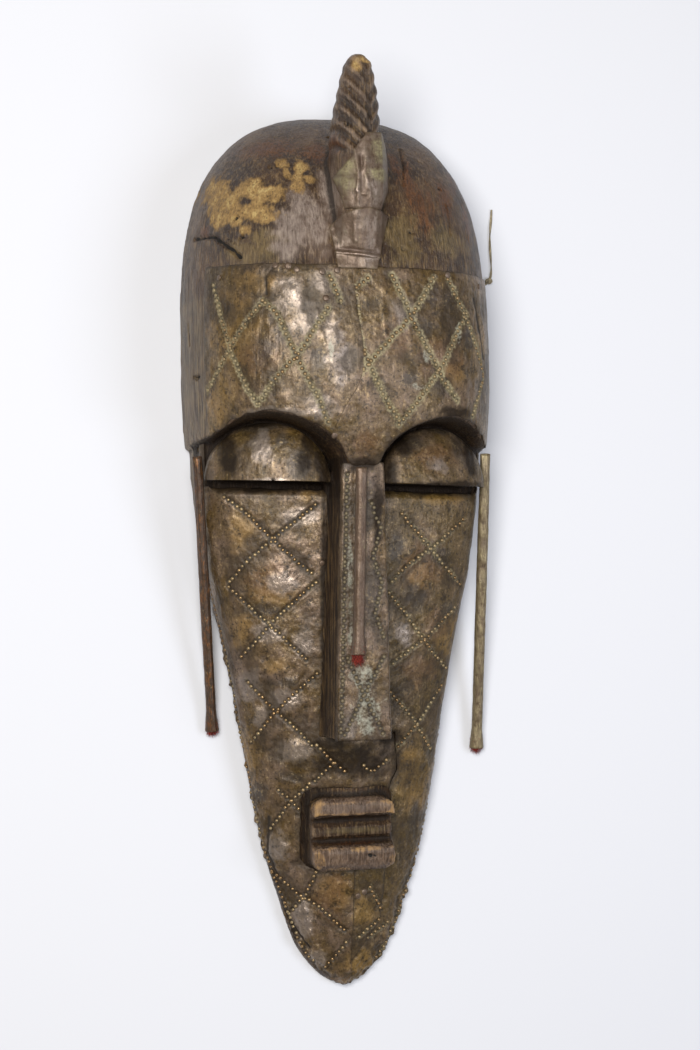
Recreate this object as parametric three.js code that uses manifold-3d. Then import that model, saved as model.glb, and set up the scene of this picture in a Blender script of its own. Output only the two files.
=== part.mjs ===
// A carved wooden face mask clad in tacked brass sheet, lying on its back with the face up.
// Millimetres. +Z is the way the face looks, +Y runs from the chin to the crown, and the origin is
// on the plane of the back rim, under the middle of the mask. Left and right are the viewer's.
import * as THREE from 'three';
import { mergeVertices } from 'three/addons/utils/BufferGeometryUtils.js';
import Module from 'manifold-3d';

const wasm = await Module();
wasm.setup();

// Driving dimensions: the carved block.
const CHIN_TIP = -300;
const CREST_TIP = 301.3;
const CROWN_TOP = 279;
const HALF_WIDTH = 100.5;
const WIDEST_Y = 105;
const FOREHEAD_HEIGHT = 119;
const HIGHEST_Y = 110;
const FOREHEAD_BOXY = 2.8;
const HOLLOW_BOXY = 2.5;

// How far a line that should run square across the mask drops from left to right, per millimetre.
const CARVERS_SLANT = 0.045;

// The face from the chin up to under the brow: place along the mask, half width at the rim, height
// on the midline, height at the edge of the cheek, and how boxy the section is.
const FACE_STATIONS = [
  { y: CHIN_TIP, half: 9, ridge: 8, edge: 6, boxy: 2.6 },
  { y: -295, half: 16.5, ridge: 13, edge: 8, boxy: 2.8 },
  { y: -286, half: 25, ridge: 17, edge: 10, boxy: 3 },
  { y: -270, half: 34.5, ridge: 22, edge: 12, boxy: 3.3 },
  { y: -242, half: 43.5, ridge: 28.5, edge: 15, boxy: 3.7 },
  { y: -205, half: 54, ridge: 37, edge: 21, boxy: 4 },
  { y: -160, half: 62, ridge: 46, edge: 27, boxy: 4.4 },
  { y: -120, half: 68, ridge: 53, edge: 34, boxy: 4.6 },
  { y: -70, half: 77, ridge: 60.5, edge: 42, boxy: 4.8 },
  { y: -15, half: 88.5, ridge: 67, edge: 48.5, boxy: 5 },
  { y: 30, half: 94.5, ridge: 72, edge: 53, boxy: 5 },
  { y: 66, half: 96, ridge: 74, edge: 56, boxy: 5 },
  { y: 100, half: 96, ridge: 76, edge: 58, boxy: 5 },
];

// The scoop at the back, where the wearer's face goes.
const HOLLOW_STATIONS = [
  { y: -262, half: 17, ridge: 6 },
  { y: -245, half: 27, ridge: 13 },
  { y: -200, half: 39, ridge: 21 },
  { y: -130, half: 52, ridge: 33 },
  { y: -60, half: 64, ridge: 44 },
  { y: 0, half: 76, ridge: 51 },
  { y: 50, half: 82, ridge: 54 },
  { y: 90, half: 85, ridge: 72 },
  { y: 130, half: 86, ridge: 96 },
  { y: 175, half: 84, ridge: 97 },
  { y: 215, half: 74, ridge: 80 },
  { y: 245, half: 52, ridge: 46 },
  { y: 260, half: 26, ridge: 14 },
];

// The crest, a braided tress that stands up in line with the forehead: half width, front and back.
const CREST_STATIONS = [
  { y: 170, half: 11.5, front: 116.5, back: 96 },
  { y: 190, half: 14, front: 121, back: 88 },
  { y: 208, half: 15.8, front: 126, back: 80 },
  { y: 224, half: 16.2, front: 128, back: 70 },
  { y: 245, half: 15.4, front: 126, back: 72 },
  { y: 265, half: 14.7, front: 124.5, back: 88 },
  { y: 280, half: 12.4, front: 125, back: 98 },
  { y: 290, half: 9.4, front: 125.5, back: 105 },
  { y: 296.5, half: 6.2, front: 123.5, back: 109 },
  { y: CREST_TIP, half: 2.2, front: 119, back: 113.5 },
];
const BRAID = { startY: 244, fadeInY: 240, fadeIn: 6, endY: 290, pitch: 8.4, depth: 1.7, steepness: 1.1 };

// The edge of the brow and the foot of the socket behind it, as [distance from the midline, y].
const BROW_EDGE = {
  z: 108,
  line: [[0, 44], [9, 45], [15, 55], [25, 64], [42, 73], [62, 77], [80, 74], [97, 66], [125, 64]],
};
const SOCKET_FOOT = {
  z: 64,
  line: [[0, 42], [12, 42], [18, 47], [28, 61], [42, 70], [58, 72.5], [76, 68], [88, 62], [125, 61]],
};

// Eyelids are half domes over a straight lower edge, with a slit below them.
const LID = { middleX: 54.5, lowerY: 33.5, halfWidth: 37, height: 36.5, innerZ: 80, outerZ: 51, bulge: 17 };
const SLIT = { lowerY: 25, innerX: 18.5, outerX: 90, depth: 9 };
const NOSE = {
  topY: 47, tipY: -131, topZ: 105, tipZ: 88, topHalf: 12.6, tipHalf: 17, draft: 0.087, corner: 2.5, footZ: 30,
};

// The mouth's profile from the nose side to the chin side, as [y, z]: a lip, a low bar and a lip.
const MOUTH = { half: 28, topY: -171.5, bottomY: -220.5, corner: 9 };
const MOUTH_PROFILE = [
  [-171.5, 25], [-171.5, 49], [-174.5, 53.5], [-183.5, 53.5], [-185.5, 42], [-188, 39.5], [-191, 44],
  [-197, 44.5], [-200, 40], [-202, 41], [-203.5, 51.5], [-207, 53], [-216, 50.5], [-220.5, 45],
  [-220.5, 20],
];

// Driving dimensions: the sheets and what hangs from them.
const GAP = 0.3;
const SHEET = 1;
const OVER = GAP + SHEET;
const SHEET_FOOT_Z = 8;
const FOREHEAD_SHEET = { topY: 169, leftFootZ: 66, rightFootZ: 44 };
const FOREHEAD_SEAM = [[-7, 200], [-7, 163], [-2.5, 103], [-20, 68], [-26, 40]];
const CHEEK_SEAM_X = 2.5;
const BARE_TEMPLE = [[70, 0], [70, 40], [-60, 0]];
const BARE_BY_MOUTH = [[-33, -214], [-33, -170], [-26, -163], [24, -163], [28, -171], [20, -214]];
const UPPER_LIP_SHEET = [[-24, -131.5], [-26, -163], [28, -163], [24, -131.5]];
const CHIN_SHEET = [[2.65, -215], [26, -215], [24, -258], [2.65, -285]];
const NOSE_SHEET_WRAP = 6;
const CREST_PLATE = { gap: 0.4, wrapZ: 90 };
const SADDLE_PLATE = [
  [1.5, 251], [12, 249], [21, 218], [10, 202], [-13, 202], [-21, 222], [-9, 239], [-7, 242],
];
const FOOT_PLATE = [[17, 201.6], [19, 198], [10, 166], [-14, 167], [-20, 200], [-14, 201.6]];
const TUBE = { wall: 0.7, topRadius: 3.2, middleRadius: 3.6, endRadius: 4.7, flare: 14, sides: 10 };
const TUFT = { clearance: 0.4, inside: 8, sides: 8 };
const HANGERS = [
  { name: 'nose', top: [-2.5, 42.6, 109.9], end: [-5.4, -75.5, 99.9], tuft: 8 },
  { name: 'left_temple', top: [-97.4, 53, 49], end: [-85.5, -127.7, 4.9], tuft: 3 },
  { name: 'right_temple', top: [96, 51.5, 45.3], end: [95.7, -146.9, 4.9], tuft: 3 },
];

// The thong leaves a hole in the right rim, is knotted, and lies on the table.
const THONG = { radius: 0.9, holeRadius: 1.7, knotRadius: 2.4, knotAt: [113.4, 171, 2.4] };
const THONG_ROUTE = [
  [96, 166, 5], [101, 166, 4.9], [104, 166.6, 2.6], [108, 167.6, 1.4], [112, 169.4, 1.1],
  [114.6, 172.6, 1.1], [115.6, 177, 1.1], [115.8, 183, 1.1], [115.4, 190, 1.1], [115.2, 198, 1.1],
  [115.7, 206, 1.1], [116.4, 213, 1.1], [117, 220, 1.1],
];

// Limits that lie outside the mask, for the blocks that cut it.
const BESIDE = 130;
const BEYOND = 330;
const ABOVE = 160;

// A smooth value between stations.
function between(stations, key, y) {
  let i = stations.findIndex((s) => s.y >= y);
  if (i <= 0) i = i < 0 ? stations.length - 1 : 1;
  const at = (k) => stations[Math.min(Math.max(k, 0), stations.length - 1)];
  const [a, b] = [at(i - 1), at(i)];
  const span = b.y - a.y;
  const t = Math.min(Math.max((y - a.y) / span, 0), 1);
  const slope = (k) => (at(k + 1)[key] - at(k - 1)[key]) / (at(k + 1).y - at(k - 1).y);
  const [leaving, arriving] = [slope(i - 1) * span, slope(i) * span];
  return a[key] * (1 + 2 * t) * (1 - t) ** 2 + leaving * t * (1 - t) ** 2
    + b[key] * t * t * (3 - 2 * t) + arriving * t * t * (t - 1);
}

function onLine(points, position) {
  return between(points.map(([y, value]) => ({ y, value })), 'value', position);
}

const vector = (x, y, z) => new THREE.Vector3(x, y, z);
const seenAlongX = (p) => new THREE.Vector2(p.y, p.z);
const seenAlongY = (p) => new THREE.Vector2(p.x, p.z);
const seenAlongZ = (p) => new THREE.Vector2(p.x, p.y);
const slanted = ([x, y]) => [x, y - CARVERS_SLANT * x];
const onSide = (side, outline) => outline.map(([x, y]) => slanted([side * x, y]));

// A closed surface through rings of equal length, with flat ends.
function loft(rings, flatten) {
  const count = rings[0].length;
  const position = rings.flat().flatMap((p) => [p.x, p.y, p.z]);
  const index = [];
  for (let i = 0; i + 1 < rings.length; i += 1) {
    for (let j = 0; j < count; j += 1) {
      const [a, b] = [i * count + j, i * count + ((j + 1) % count)];
      index.push(a, b, b + count, a, b + count, a + count);
    }
  }
  const outline = rings[0].map(flatten);
  const clockwise = THREE.ShapeUtils.isClockWise(outline);
  const last = (rings.length - 1) * count;
  for (const [a, b, c] of THREE.ShapeUtils.triangulateShape(outline, [])) {
    if (clockwise) index.push(a, b, c, last + a, last + c, last + b);
    else index.push(a, c, b, last + a, last + b, last + c);
  }
  const geometry = new THREE.BufferGeometry();
  geometry.setAttribute('position', new THREE.Float32BufferAttribute(position, 3));
  geometry.setIndex(index);
  return geometry;
}

function signedVolume(vertices, triangles) {
  let volume = 0;
  const [a, b, c] = [vector(), vector(), vector()];
  for (let i = 0; i < triangles.length; i += 3) {
    a.fromArray(vertices, triangles[i] * 3);
    b.fromArray(vertices, triangles[i + 1] * 3);
    c.fromArray(vertices, triangles[i + 2] * 3);
    volume += a.dot(b.cross(c)) / 6;
  }
  return volume;
}

function solidOf(geometry) {
  const bare = geometry.clone();
  bare.deleteAttribute('normal');
  bare.deleteAttribute('uv');
  const merged = mergeVertices(bare, 1e-5);
  const vertProperties = new Float32Array(merged.attributes.position.array);
  const triVerts = new Uint32Array(merged.index.array);
  if (signedVolume(vertProperties, triVerts) < 0) {
    for (let i = 0; i < triVerts.length; i += 3) {
      [triVerts[i + 1], triVerts[i + 2]] = [triVerts[i + 2], triVerts[i + 1]];
    }
  }
  return new wasm.Manifold(new wasm.Mesh({ numProp: 3, vertProperties, triVerts }));
}

function geometryOf(solid) {
  const mesh = solid.getMesh();
  const geometry = new THREE.BufferGeometry();
  geometry.setAttribute('position', new THREE.Float32BufferAttribute(mesh.vertProperties, 3));
  geometry.setIndex(new THREE.Uint32BufferAttribute(mesh.triVerts, 1));
  geometry.computeVertexNormals();
  return geometry;
}

// A prism over an outline of [x, y] points.
function prism(outline, low = 0, high = ABOVE) {
  const shape = new THREE.Shape(outline.map(([x, y]) => new THREE.Vector2(x, y)));
  const geometry = new THREE.ExtrudeGeometry(shape, { depth: high - low, bevelEnabled: false });
  geometry.translate(0, 0, low);
  return solidOf(geometry);
}

function block([x0, x1], [y0, y1], [z0, z1]) {
  return prism([[x0, y0], [x1, y0], [x1, y1], [x0, y1]], z0, z1);
}

// Moves every side of an outline outwards by the same distance.
function grown(outline, by) {
  const points = outline.map(([x, y]) => new THREE.Vector2(x, y));
  const turn = THREE.ShapeUtils.isClockWise(points) ? -1 : 1;
  return points.map((p, i) => {
    const before = points[(i + points.length - 1) % points.length];
    const after = points[(i + 1) % points.length];
    const [into, out] = [p.clone().sub(before).normalize(), after.clone().sub(p).normalize()];
    const normal = new THREE.Vector2(into.y + out.y, -into.x - out.x).multiplyScalar(turn);
    const reach = by / (1 + into.dot(out));
    return [p.x + normal.x * reach, p.y + normal.y * reach];
  });
}

function roundedRectangle({ half, bottomY, topY, corner }, by = 0) {
  const [right, bottom, top] = [half + by - corner, bottomY - by + corner, topY + by - corner];
  const shape = new THREE.Shape();
  shape.absarc(right, bottom, corner, -Math.PI / 2, 0);
  shape.absarc(right, top, corner, 0, Math.PI / 2);
  shape.absarc(-right, top, corner, Math.PI / 2, Math.PI);
  shape.absarc(-right, bottom, corner, Math.PI, Math.PI * 1.5);
  return shape.getPoints(4).map((p) => [p.x, p.y]);
}

// Half of a boxy oval, from the right rim over the top to the left rim. It leans in to the edges
// like a gable where the edge height is less than the ridge height.
const ACROSS = 22;

function section(y, { half, ridge, edge = ridge, boxy }, steps = ACROSS) {
  const points = [];
  for (let j = 0; j <= steps; j += 1) {
    const angle = (Math.PI * j) / steps;
    const c = Math.cos(angle);
    const share = Math.sign(c) * Math.abs(c) ** (2 / boxy);
    const height = (ridge + (edge - ridge) * Math.abs(share)) * Math.sin(angle) ** (2 / boxy);
    points.push(vector(half * share, y, j % steps ? height : 0));
  }
  return points;
}

// The crown and forehead, pushed out by an offset for the sheets over it.
const dome = (share, power, root) => (1 - Math.max(share, 0) ** power) ** (1 / root);

function foreheadHalf(y) {
  if (y < WIDEST_Y) return HALF_WIDTH - 0.0009 * (WIDEST_Y - y) ** 2;
  return HALF_WIDTH * dome((y - WIDEST_Y) / (CROWN_TOP - WIDEST_Y), 3.3, 2.6);
}

function foreheadHeight(y) {
  if (y < HIGHEST_Y) return FOREHEAD_HEIGHT - 0.003 * (HIGHEST_Y - y) ** 2;
  return FOREHEAD_HEIGHT * dome((y - HIGHEST_Y) / (CROWN_TOP - HIGHEST_Y), 2.6, 2);
}

function foreheadHull(offset) {
  const last = CROWN_TOP - 1;
  const places = [30, 50, 70, 90, 110, 130, 150, 170, 188, 205, 221, 236, 249, 260, 268.5, 274.5, last];
  const rings = places.map((y) => section(y === last ? y + offset : y, {
    half: foreheadHalf(y) + offset,
    ridge: foreheadHeight(y) + offset,
    boxy: FOREHEAD_BOXY,
  }));
  return solidOf(loft(rings, seenAlongY));
}

// The cheeks and chin, pushed out by an offset, or with the front sunk for the floor of the slits.
function faceHull(offset, sunk = 0) {
  const height = (key, y) => Math.max(between(FACE_STATIONS, key, y) - sunk, 2) + offset;
  const places = [
    CHIN_TIP, -295, -286, -270, -250, -225, -200, -175, -150, -120, -90, -60, -30, 0, 30, 66, 100,
  ];
  const rings = places.map((y) => section(y === CHIN_TIP ? y - offset : y, {
    half: between(FACE_STATIONS, 'half', y) + offset,
    ridge: height('ridge', y),
    edge: height('edge', y),
    boxy: between(FACE_STATIONS, 'boxy', y),
  }));
  return solidOf(loft(rings, seenAlongY));
}

function hollow() {
  const [below, steps] = [-4, 16];
  const rings = HOLLOW_STATIONS.map(({ y, half, ridge }) => {
    const ring = section(y, { half, ridge, boxy: HOLLOW_BOXY }, steps);
    return ring.map((p) => (p.z === 0 ? p.setZ(below) : p));
  });
  return solidOf(loft(rings, seenAlongY));
}

// What is carved away below the brow, with a wall that slopes in to the foot of the socket.
function underBrow() {
  const [reach, steps] = [125, 40];
  const ringAt = (z) => {
    const share = (z - SOCKET_FOOT.z) / (BROW_EDGE.z - SOCKET_FOOT.z);
    const ring = [];
    for (let i = 0; i <= steps; i += 1) {
      const x = -reach + (2 * reach * i) / steps;
      const foot = onLine(SOCKET_FOOT.line, Math.abs(x));
      const edge = onLine(BROW_EDGE.line, Math.abs(x));
      ring.push(vector(...slanted([x, foot + (edge - foot) * share]), z));
    }
    ring.push(vector(reach, 0, z), vector(-reach, 0, z));
    return ring;
  };
  return solidOf(loft([ringAt(-10), ringAt(140)], seenAlongZ));
}

// One eyelid: a half dome whose base follows the slope of the face, down to a floor.
function lid(side, offset, floor) {
  const [around, out] = [14, 4];
  const [halfWidth, height] = [LID.halfWidth + offset, LID.height + offset];
  const rings = [];
  for (let i = 0; i <= out; i += 1) {
    const share = Math.sin((Math.PI / 2) * Math.max(i / out, 0.02));
    const rise = LID.bulge * Math.sqrt(1 - share * share);
    const ring = [];
    for (let j = 0; j <= around; j += 1) {
      const angle = (Math.PI * j) / around;
      const across = share * Math.cos(angle);
      const base = LID.innerZ + ((LID.outerZ - LID.innerZ) * (across + 1)) / 2;
      const x = LID.middleX + halfWidth * across;
      const y = LID.lowerY + height * share * Math.sin(angle);
      ring.push(vector(...slanted([side * x, y]), base + offset + rise));
    }
    rings.push(ring);
  }
  rings.push(rings[out].map((p) => vector(p.x, p.y, floor)));
  return solidOf(loft(rings, seenAlongZ));
}

function slit(side) {
  const [low, high] = [SLIT.lowerY, LID.lowerY + 3];
  const outline = [[SLIT.innerX, low], [SLIT.outerX, low], [SLIT.outerX, high], [SLIT.innerX, high]];
  return prism(onSide(side, outline), 20, 90).subtract(faceHull(0, SLIT.depth));
}

// The nose, a long block with slightly drafted sides.
const noseShare = (y) => (y - NOSE.tipY) / (NOSE.topY - NOSE.tipY);
const noseFront = (y) => NOSE.tipZ + (NOSE.topZ - NOSE.tipZ) * noseShare(y);

function noseBlock(offset, topY) {
  const rings = [NOSE.tipY, topY].map((y) => {
    const half = NOSE.tipHalf + (NOSE.topHalf - NOSE.tipHalf) * noseShare(y);
    const front = noseFront(y);
    const footHalf = half + NOSE.draft * (front - NOSE.footZ);
    const right = [
      [half - NOSE.corner + offset, front + offset],
      [half + offset, front - NOSE.corner],
      [footHalf + offset, NOSE.footZ],
    ];
    const left = right.map(([x, z]) => [-x, z]).reverse();
    return [...left, ...right].map(([x, z]) => vector(x, y, z));
  });
  return solidOf(loft(rings, seenAlongY));
}

function mouth() {
  const rings = [-40, 40].map((x) => MOUTH_PROFILE.map(([y, z]) => vector(x, y, z)));
  return solidOf(loft(rings, seenAlongX)).intersect(prism(roundedRectangle(MOUTH), 10, 70));
}

// The crest. Its strands run down to the midline from both sides.
function crest(offset, braidDepth) {
  const [around, boxy] = [16, 0.85];
  const [step, end] = braidDepth ? [BRAID.pitch / 4, BRAID.endY] : [BRAID.pitch / 2, 256];
  const places = [170, 190, 208, 224, 238];
  for (let y = BRAID.startY; y < end; y += step) places.push(y);
  places.push(292, 296.5, CREST_TIP);
  const rings = places.map((y) => {
    const half = between(CREST_STATIONS, 'half', y);
    const front = between(CREST_STATIONS, 'front', y);
    const back = between(CREST_STATIONS, 'back', y);
    const fade = Math.min(1, Math.max(0, (y - BRAID.fadeInY) / BRAID.fadeIn)) * (half / 15);
    const ring = [];
    for (let j = 0; j < around; j += 1) {
      const angle = (2 * Math.PI * j) / around;
      const [c, s] = [Math.cos(angle), Math.sin(angle)];
      const side = Math.sign(c) * Math.abs(c) ** boxy;
      const rise = Math.sign(s) * Math.abs(s) ** boxy;
      const strand = (y - Math.abs(side) * half * BRAID.steepness) / BRAID.pitch;
      const reach = offset - braidDepth * fade * (1 - Math.abs(Math.sin(Math.PI * strand)));
      ring.push(vector(side * (half + reach), y, (front + back) / 2 + rise * ((front - back) / 2 + reach)));
    }
    return ring;
  });
  return solidOf(loft(rings, seenAlongY));
}

function thongHole() {
  const bore = new THREE.CylinderGeometry(THONG.holeRadius, THONG.holeRadius, 40, 10);
  bore.rotateZ(Math.PI / 2);
  bore.translate(...THONG_ROUTE[0]);
  return solidOf(bore);
}

// The carved body: one block of wood.
function body() {
  const lidFloor = 44;
  let wood = foreheadHull(0).subtract(underBrow()).add(faceHull(0));
  for (const side of [-1, 1]) wood = wood.subtract(slit(side)).add(lid(side, 0, lidFloor));
  wood = wood.add(noseBlock(0, NOSE.topY + 8)).add(mouth()).add(crest(0, BRAID.depth));
  return wood.subtract(hollow()).subtract(thongHole());
}

// Sheets: each is the space between two offsets of the carving, cut to the sheet's outline.
const brow = foreheadHull(OVER + GAP).subtract(underBrow());

function foreheadSkin() {
  const { topY, leftFootZ, rightFootZ } = FOREHEAD_SHEET;
  const top = [[BESIDE, topY], [-BESIDE, topY]].map(slanted);
  return foreheadHull(OVER).subtract(foreheadHull(GAP))
    .intersect(prism([[-BESIDE, 0], [BESIDE, 0], ...top]))
    .subtract(block([-BESIDE, 0], [0, BEYOND], [0, leftFootZ]))
    .subtract(block([0, BESIDE], [0, BEYOND], [0, rightFootZ]))
    .subtract(underBrow())
    .subtract(faceHull(GAP))
    .subtract(noseBlock(OVER + GAP, NOSE.topY + 9));
}

function besideForeheadSeam(side) {
  const shifted = FOREHEAD_SEAM.map(([x, y]) => [x + (side * GAP) / 2, y]);
  const [topY, bottomY] = [FOREHEAD_SEAM[0][1], FOREHEAD_SEAM.at(-1)[1]];
  return prism([...shifted, [side * BESIDE, bottomY], [side * BESIDE, topY]]);
}

function faceSkin() {
  const socketEdge = [[0, SLIT.lowerY - 0.5], [92.5, SLIT.lowerY - 0.5], [92.5, 80], [0, 80]];
  const bareTemple = [-BESIDE, 0].map((x) => BARE_TEMPLE.map(([y, z]) => vector(x, y, z)));
  let skin = faceHull(OVER).subtract(faceHull(GAP))
    .intersect(block([-BESIDE, BESIDE], [-BEYOND, BEYOND], [SHEET_FOOT_Z, ABOVE]))
    .subtract(prism([[-BESIDE, 66], [BESIDE, 60], [BESIDE, 130], [-BESIDE, 130]]))
    .subtract(brow)
    .subtract(solidOf(loft(bareTemple, seenAlongX)))
    .subtract(noseBlock(0.5, NOSE.topY + 13))
    .subtract(prism(roundedRectangle(MOUTH, 0.5)))
    .subtract(prism(BARE_BY_MOUTH));
  for (const side of [-1, 1]) skin = skin.subtract(prism(onSide(side, socketEdge)));
  return skin;
}

function besideCheekSeam(side) {
  const edges = [CHEEK_SEAM_X + (side * GAP) / 2, side * BESIDE].sort((a, b) => a - b);
  return block(edges, [-BEYOND, BEYOND], [0, ABOVE]);
}

function lidSheet(side) {
  const [floor, far] = [48, 120];
  const edge = LID.lowerY + 0.3;
  const below = prism(onSide(side, [[0, edge], [far, edge], [far, -20], [0, -20]]));
  return lid(side, OVER, floor).subtract(lid(side, GAP, floor - 5))
    .subtract(below)
    .subtract(faceHull(GAP))
    .subtract(noseBlock(OVER + GAP, NOSE.topY + 13))
    .subtract(foreheadHull(GAP).subtract(underBrow()));
}

function noseSheet() {
  const [from, to] = [NOSE.tipY - 5, NOSE.topY + 5];
  const frontOnly = [-30, 30].map((x) => [
    vector(x, from, noseFront(from) - NOSE_SHEET_WRAP),
    vector(x, from, ABOVE),
    vector(x, to, ABOVE),
    vector(x, to, noseFront(to) - NOSE_SHEET_WRAP),
  ]);
  return noseBlock(OVER, NOSE.topY - 1).subtract(noseBlock(GAP, NOSE.topY + 2))
    .intersect(solidOf(loft(frontOnly, seenAlongX)))
    .subtract(brow);
}

// A plate bent over the foot of the crest.
function crestPlate(outline) {
  return crest(CREST_PLATE.gap + SHEET, 0).subtract(crest(CREST_PLATE.gap, 0))
    .intersect(prism(outline, CREST_PLATE.wrapZ, ABOVE))
    .subtract(foreheadHull(OVER + GAP));
}

// A rolled tube with a flared end, drawn down its own +Y axis.
function tubeGeometry(length) {
  const outside = [
    [TUBE.topRadius, 0],
    [TUBE.middleRadius, length * 0.35],
    [TUBE.middleRadius, length - TUBE.flare],
    [TUBE.endRadius, length],
  ];
  const inside = outside.map(([radius, at]) => [radius - TUBE.wall, at]).reverse();
  const profile = [...outside, ...inside, outside[0]].map(([radius, at]) => new THREE.Vector2(radius, at));
  return new THREE.LatheGeometry(profile, TUBE.sides);
}

// The wool stuffed in a tube's end, from inside the tube to its ragged tip.
function tuftGeometry(showing) {
  const radius = TUBE.middleRadius - TUBE.wall - TUFT.clearance;
  const profile = [
    [0, -TUFT.inside],
    [radius * 0.8, -TUFT.inside],
    [radius * 0.95, 0],
    [radius, showing * 0.5],
    [radius * 0.6, showing * 0.9],
    [0, showing],
  ].map(([r, at]) => new THREE.Vector2(r, at));
  return new THREE.LatheGeometry(profile, TUFT.sides);
}

function thongGeometry() {
  const route = new THREE.CatmullRomCurve3(THONG_ROUTE.map((p) => vector(...p)));
  const circle = new THREE.Shape().absarc(0, 0, THONG.radius, 0, Math.PI * 2);
  const ring = new THREE.Shape(circle.getPoints(8).slice(0, 8));
  const strip = new THREE.ExtrudeGeometry(ring, { steps: 18, extrudePath: route, bevelEnabled: false });
  const knot = new THREE.SphereGeometry(THONG.knotRadius, 8, 6);
  knot.scale(1.15, 1, 0.9);
  knot.translate(...THONG.knotAt);
  return geometryOf(solidOf(strip).add(solidOf(knot)));
}

function finish(color, roughness, metalness) {
  return () => new THREE.MeshStandardMaterial({ color, roughness, metalness });
}
const wood = finish(0x4a3826, 0.55, 0);
const brass = finish(0x6f6146, 0.42, 0.8);
const copper = finish(0x7a675a, 0.4, 0.8);
const wool = finish(0x7d2a22, 0.95, 0);
const hide = finish(0x8a8068, 0.8, 0);

const mask = new THREE.Group();

function place(name, geometry, material, parent = mask) {
  const mesh = new THREE.Mesh(geometry, material());
  mesh.name = name;
  parent.add(mesh);
  return mesh;
}

place('mask_body', geometryOf(body()), wood);

const forehead = foreheadSkin();
place('forehead_left_sheet', geometryOf(forehead.intersect(besideForeheadSeam(-1))), brass);
place('forehead_right_sheet', geometryOf(forehead.intersect(besideForeheadSeam(1))), brass);

const face = faceSkin();
const cheeks = face.subtract(prism(grown(UPPER_LIP_SHEET, GAP))).subtract(prism(grown(CHIN_SHEET, GAP)));
place('left_cheek_sheet', geometryOf(cheeks.intersect(besideCheekSeam(-1))), brass);
place('right_cheek_sheet', geometryOf(cheeks.intersect(besideCheekSeam(1))), brass);
place('upper_lip_sheet', geometryOf(face.intersect(prism(UPPER_LIP_SHEET))), brass);
place('chin_sheet', geometryOf(face.intersect(prism(CHIN_SHEET))), brass);

place('left_eyelid_sheet', geometryOf(lidSheet(-1)), brass);
place('right_eyelid_sheet', geometryOf(lidSheet(1)), brass);
place('nose_sheet', geometryOf(noseSheet()), brass);
place('crest_saddle_plate', geometryOf(crestPlate(SADDLE_PLATE)), copper);
place('crest_foot_plate', geometryOf(crestPlate(FOOT_PLATE)), copper);

// Each hanger is drawn down its own +Y axis and then laid along its line.
for (const { name, top, end, tuft } of HANGERS) {
  const line = vector(...end).sub(vector(...top));
  const length = line.length();
  const hanger = new THREE.Group();
  hanger.position.set(...top);
  hanger.quaternion.setFromUnitVectors(vector(0, 1, 0), line.normalize());
  mask.add(hanger);
  place(`${name}_tube`, tubeGeometry(length), copper, hanger);
  place(`${name}_tuft`, tuftGeometry(tuft), wool, hanger).position.y = length;
}

place('thong', thongGeometry(), hide);

export default mask;
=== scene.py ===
import math

import bpy
import numpy as np
from mathutils import Matrix, Vector
from mathutils.bvhtree import BVHTree
from mathutils.kdtree import KDTree


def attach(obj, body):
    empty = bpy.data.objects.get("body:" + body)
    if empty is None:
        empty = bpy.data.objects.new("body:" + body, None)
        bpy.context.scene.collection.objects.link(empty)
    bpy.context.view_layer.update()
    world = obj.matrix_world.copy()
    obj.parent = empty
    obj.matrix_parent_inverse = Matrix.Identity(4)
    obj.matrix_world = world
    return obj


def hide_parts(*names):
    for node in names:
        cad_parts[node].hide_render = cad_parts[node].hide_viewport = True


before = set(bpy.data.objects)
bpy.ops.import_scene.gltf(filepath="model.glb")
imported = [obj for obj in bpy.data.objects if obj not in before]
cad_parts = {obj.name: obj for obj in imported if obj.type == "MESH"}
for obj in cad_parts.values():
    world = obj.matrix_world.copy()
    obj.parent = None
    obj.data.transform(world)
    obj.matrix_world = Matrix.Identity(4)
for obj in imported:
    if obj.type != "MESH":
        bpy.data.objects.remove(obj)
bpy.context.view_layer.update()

# The room: a plain pale floor under the lying mask, a large soft light high up on the left and
# towards the crown, a weaker one on the right, and the camera 1.5 m up, turned 12 degrees to the
# viewer's left. Lengths are worked out in millimetres and turned to metres where a mesh is made.
MM = 0.001
CAMERA = {"lens": 80, "sensor": 36, "distance": 1517, "aim": (0, 6.5, 60), "turn": 12, "roll": -1.4}
LIGHTS = [
    {"name": "window_light", "place": (-540, 260, 1750), "size": 900, "watts": 41,
     "colour": "#fffaf3"},
    {"name": "room_light", "place": (1000, -250, 1500), "size": 900, "watts": 12,
     "colour": "#eef3ff"},
]
FLOOR = {"colour": "#d0d4dd", "half_side": 4000, "roughness": 0.9, "gloss": 0.1}
ROOM = {"colour": "#eadcc4", "strength": 0.2}


def linear(colour):
    """An sRGB hex colour as linear light, with an alpha of 1."""
    parts = [int(colour[i:i + 2], 16) / 255 for i in (1, 3, 5)]
    return (*[p / 12.92 if p <= 0.04045 else ((p + 0.055) / 1.055) ** 2.4 for p in parts], 1)


def add(tree, kind, settings=None, inputs=None, out=None):
    """Adds a node with its settings, and its inputs as values or as links from other sockets."""
    node = tree.nodes.new(kind)
    for key, value in (settings or {}).items():
        setattr(node, key, value)
    for socket, value in (inputs or {}).items():
        if isinstance(value, bpy.types.NodeSocket):
            tree.links.new(value, node.inputs[socket])
        else:
            node.inputs[socket].default_value = value
    return node if out is None else node.outputs[out]


def new_material(name):
    """A material, its node tree and its surface shader."""
    material = bpy.data.materials.new(name)
    material.use_nodes = True
    return material, material.node_tree, material.node_tree.nodes["Principled BSDF"]


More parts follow.
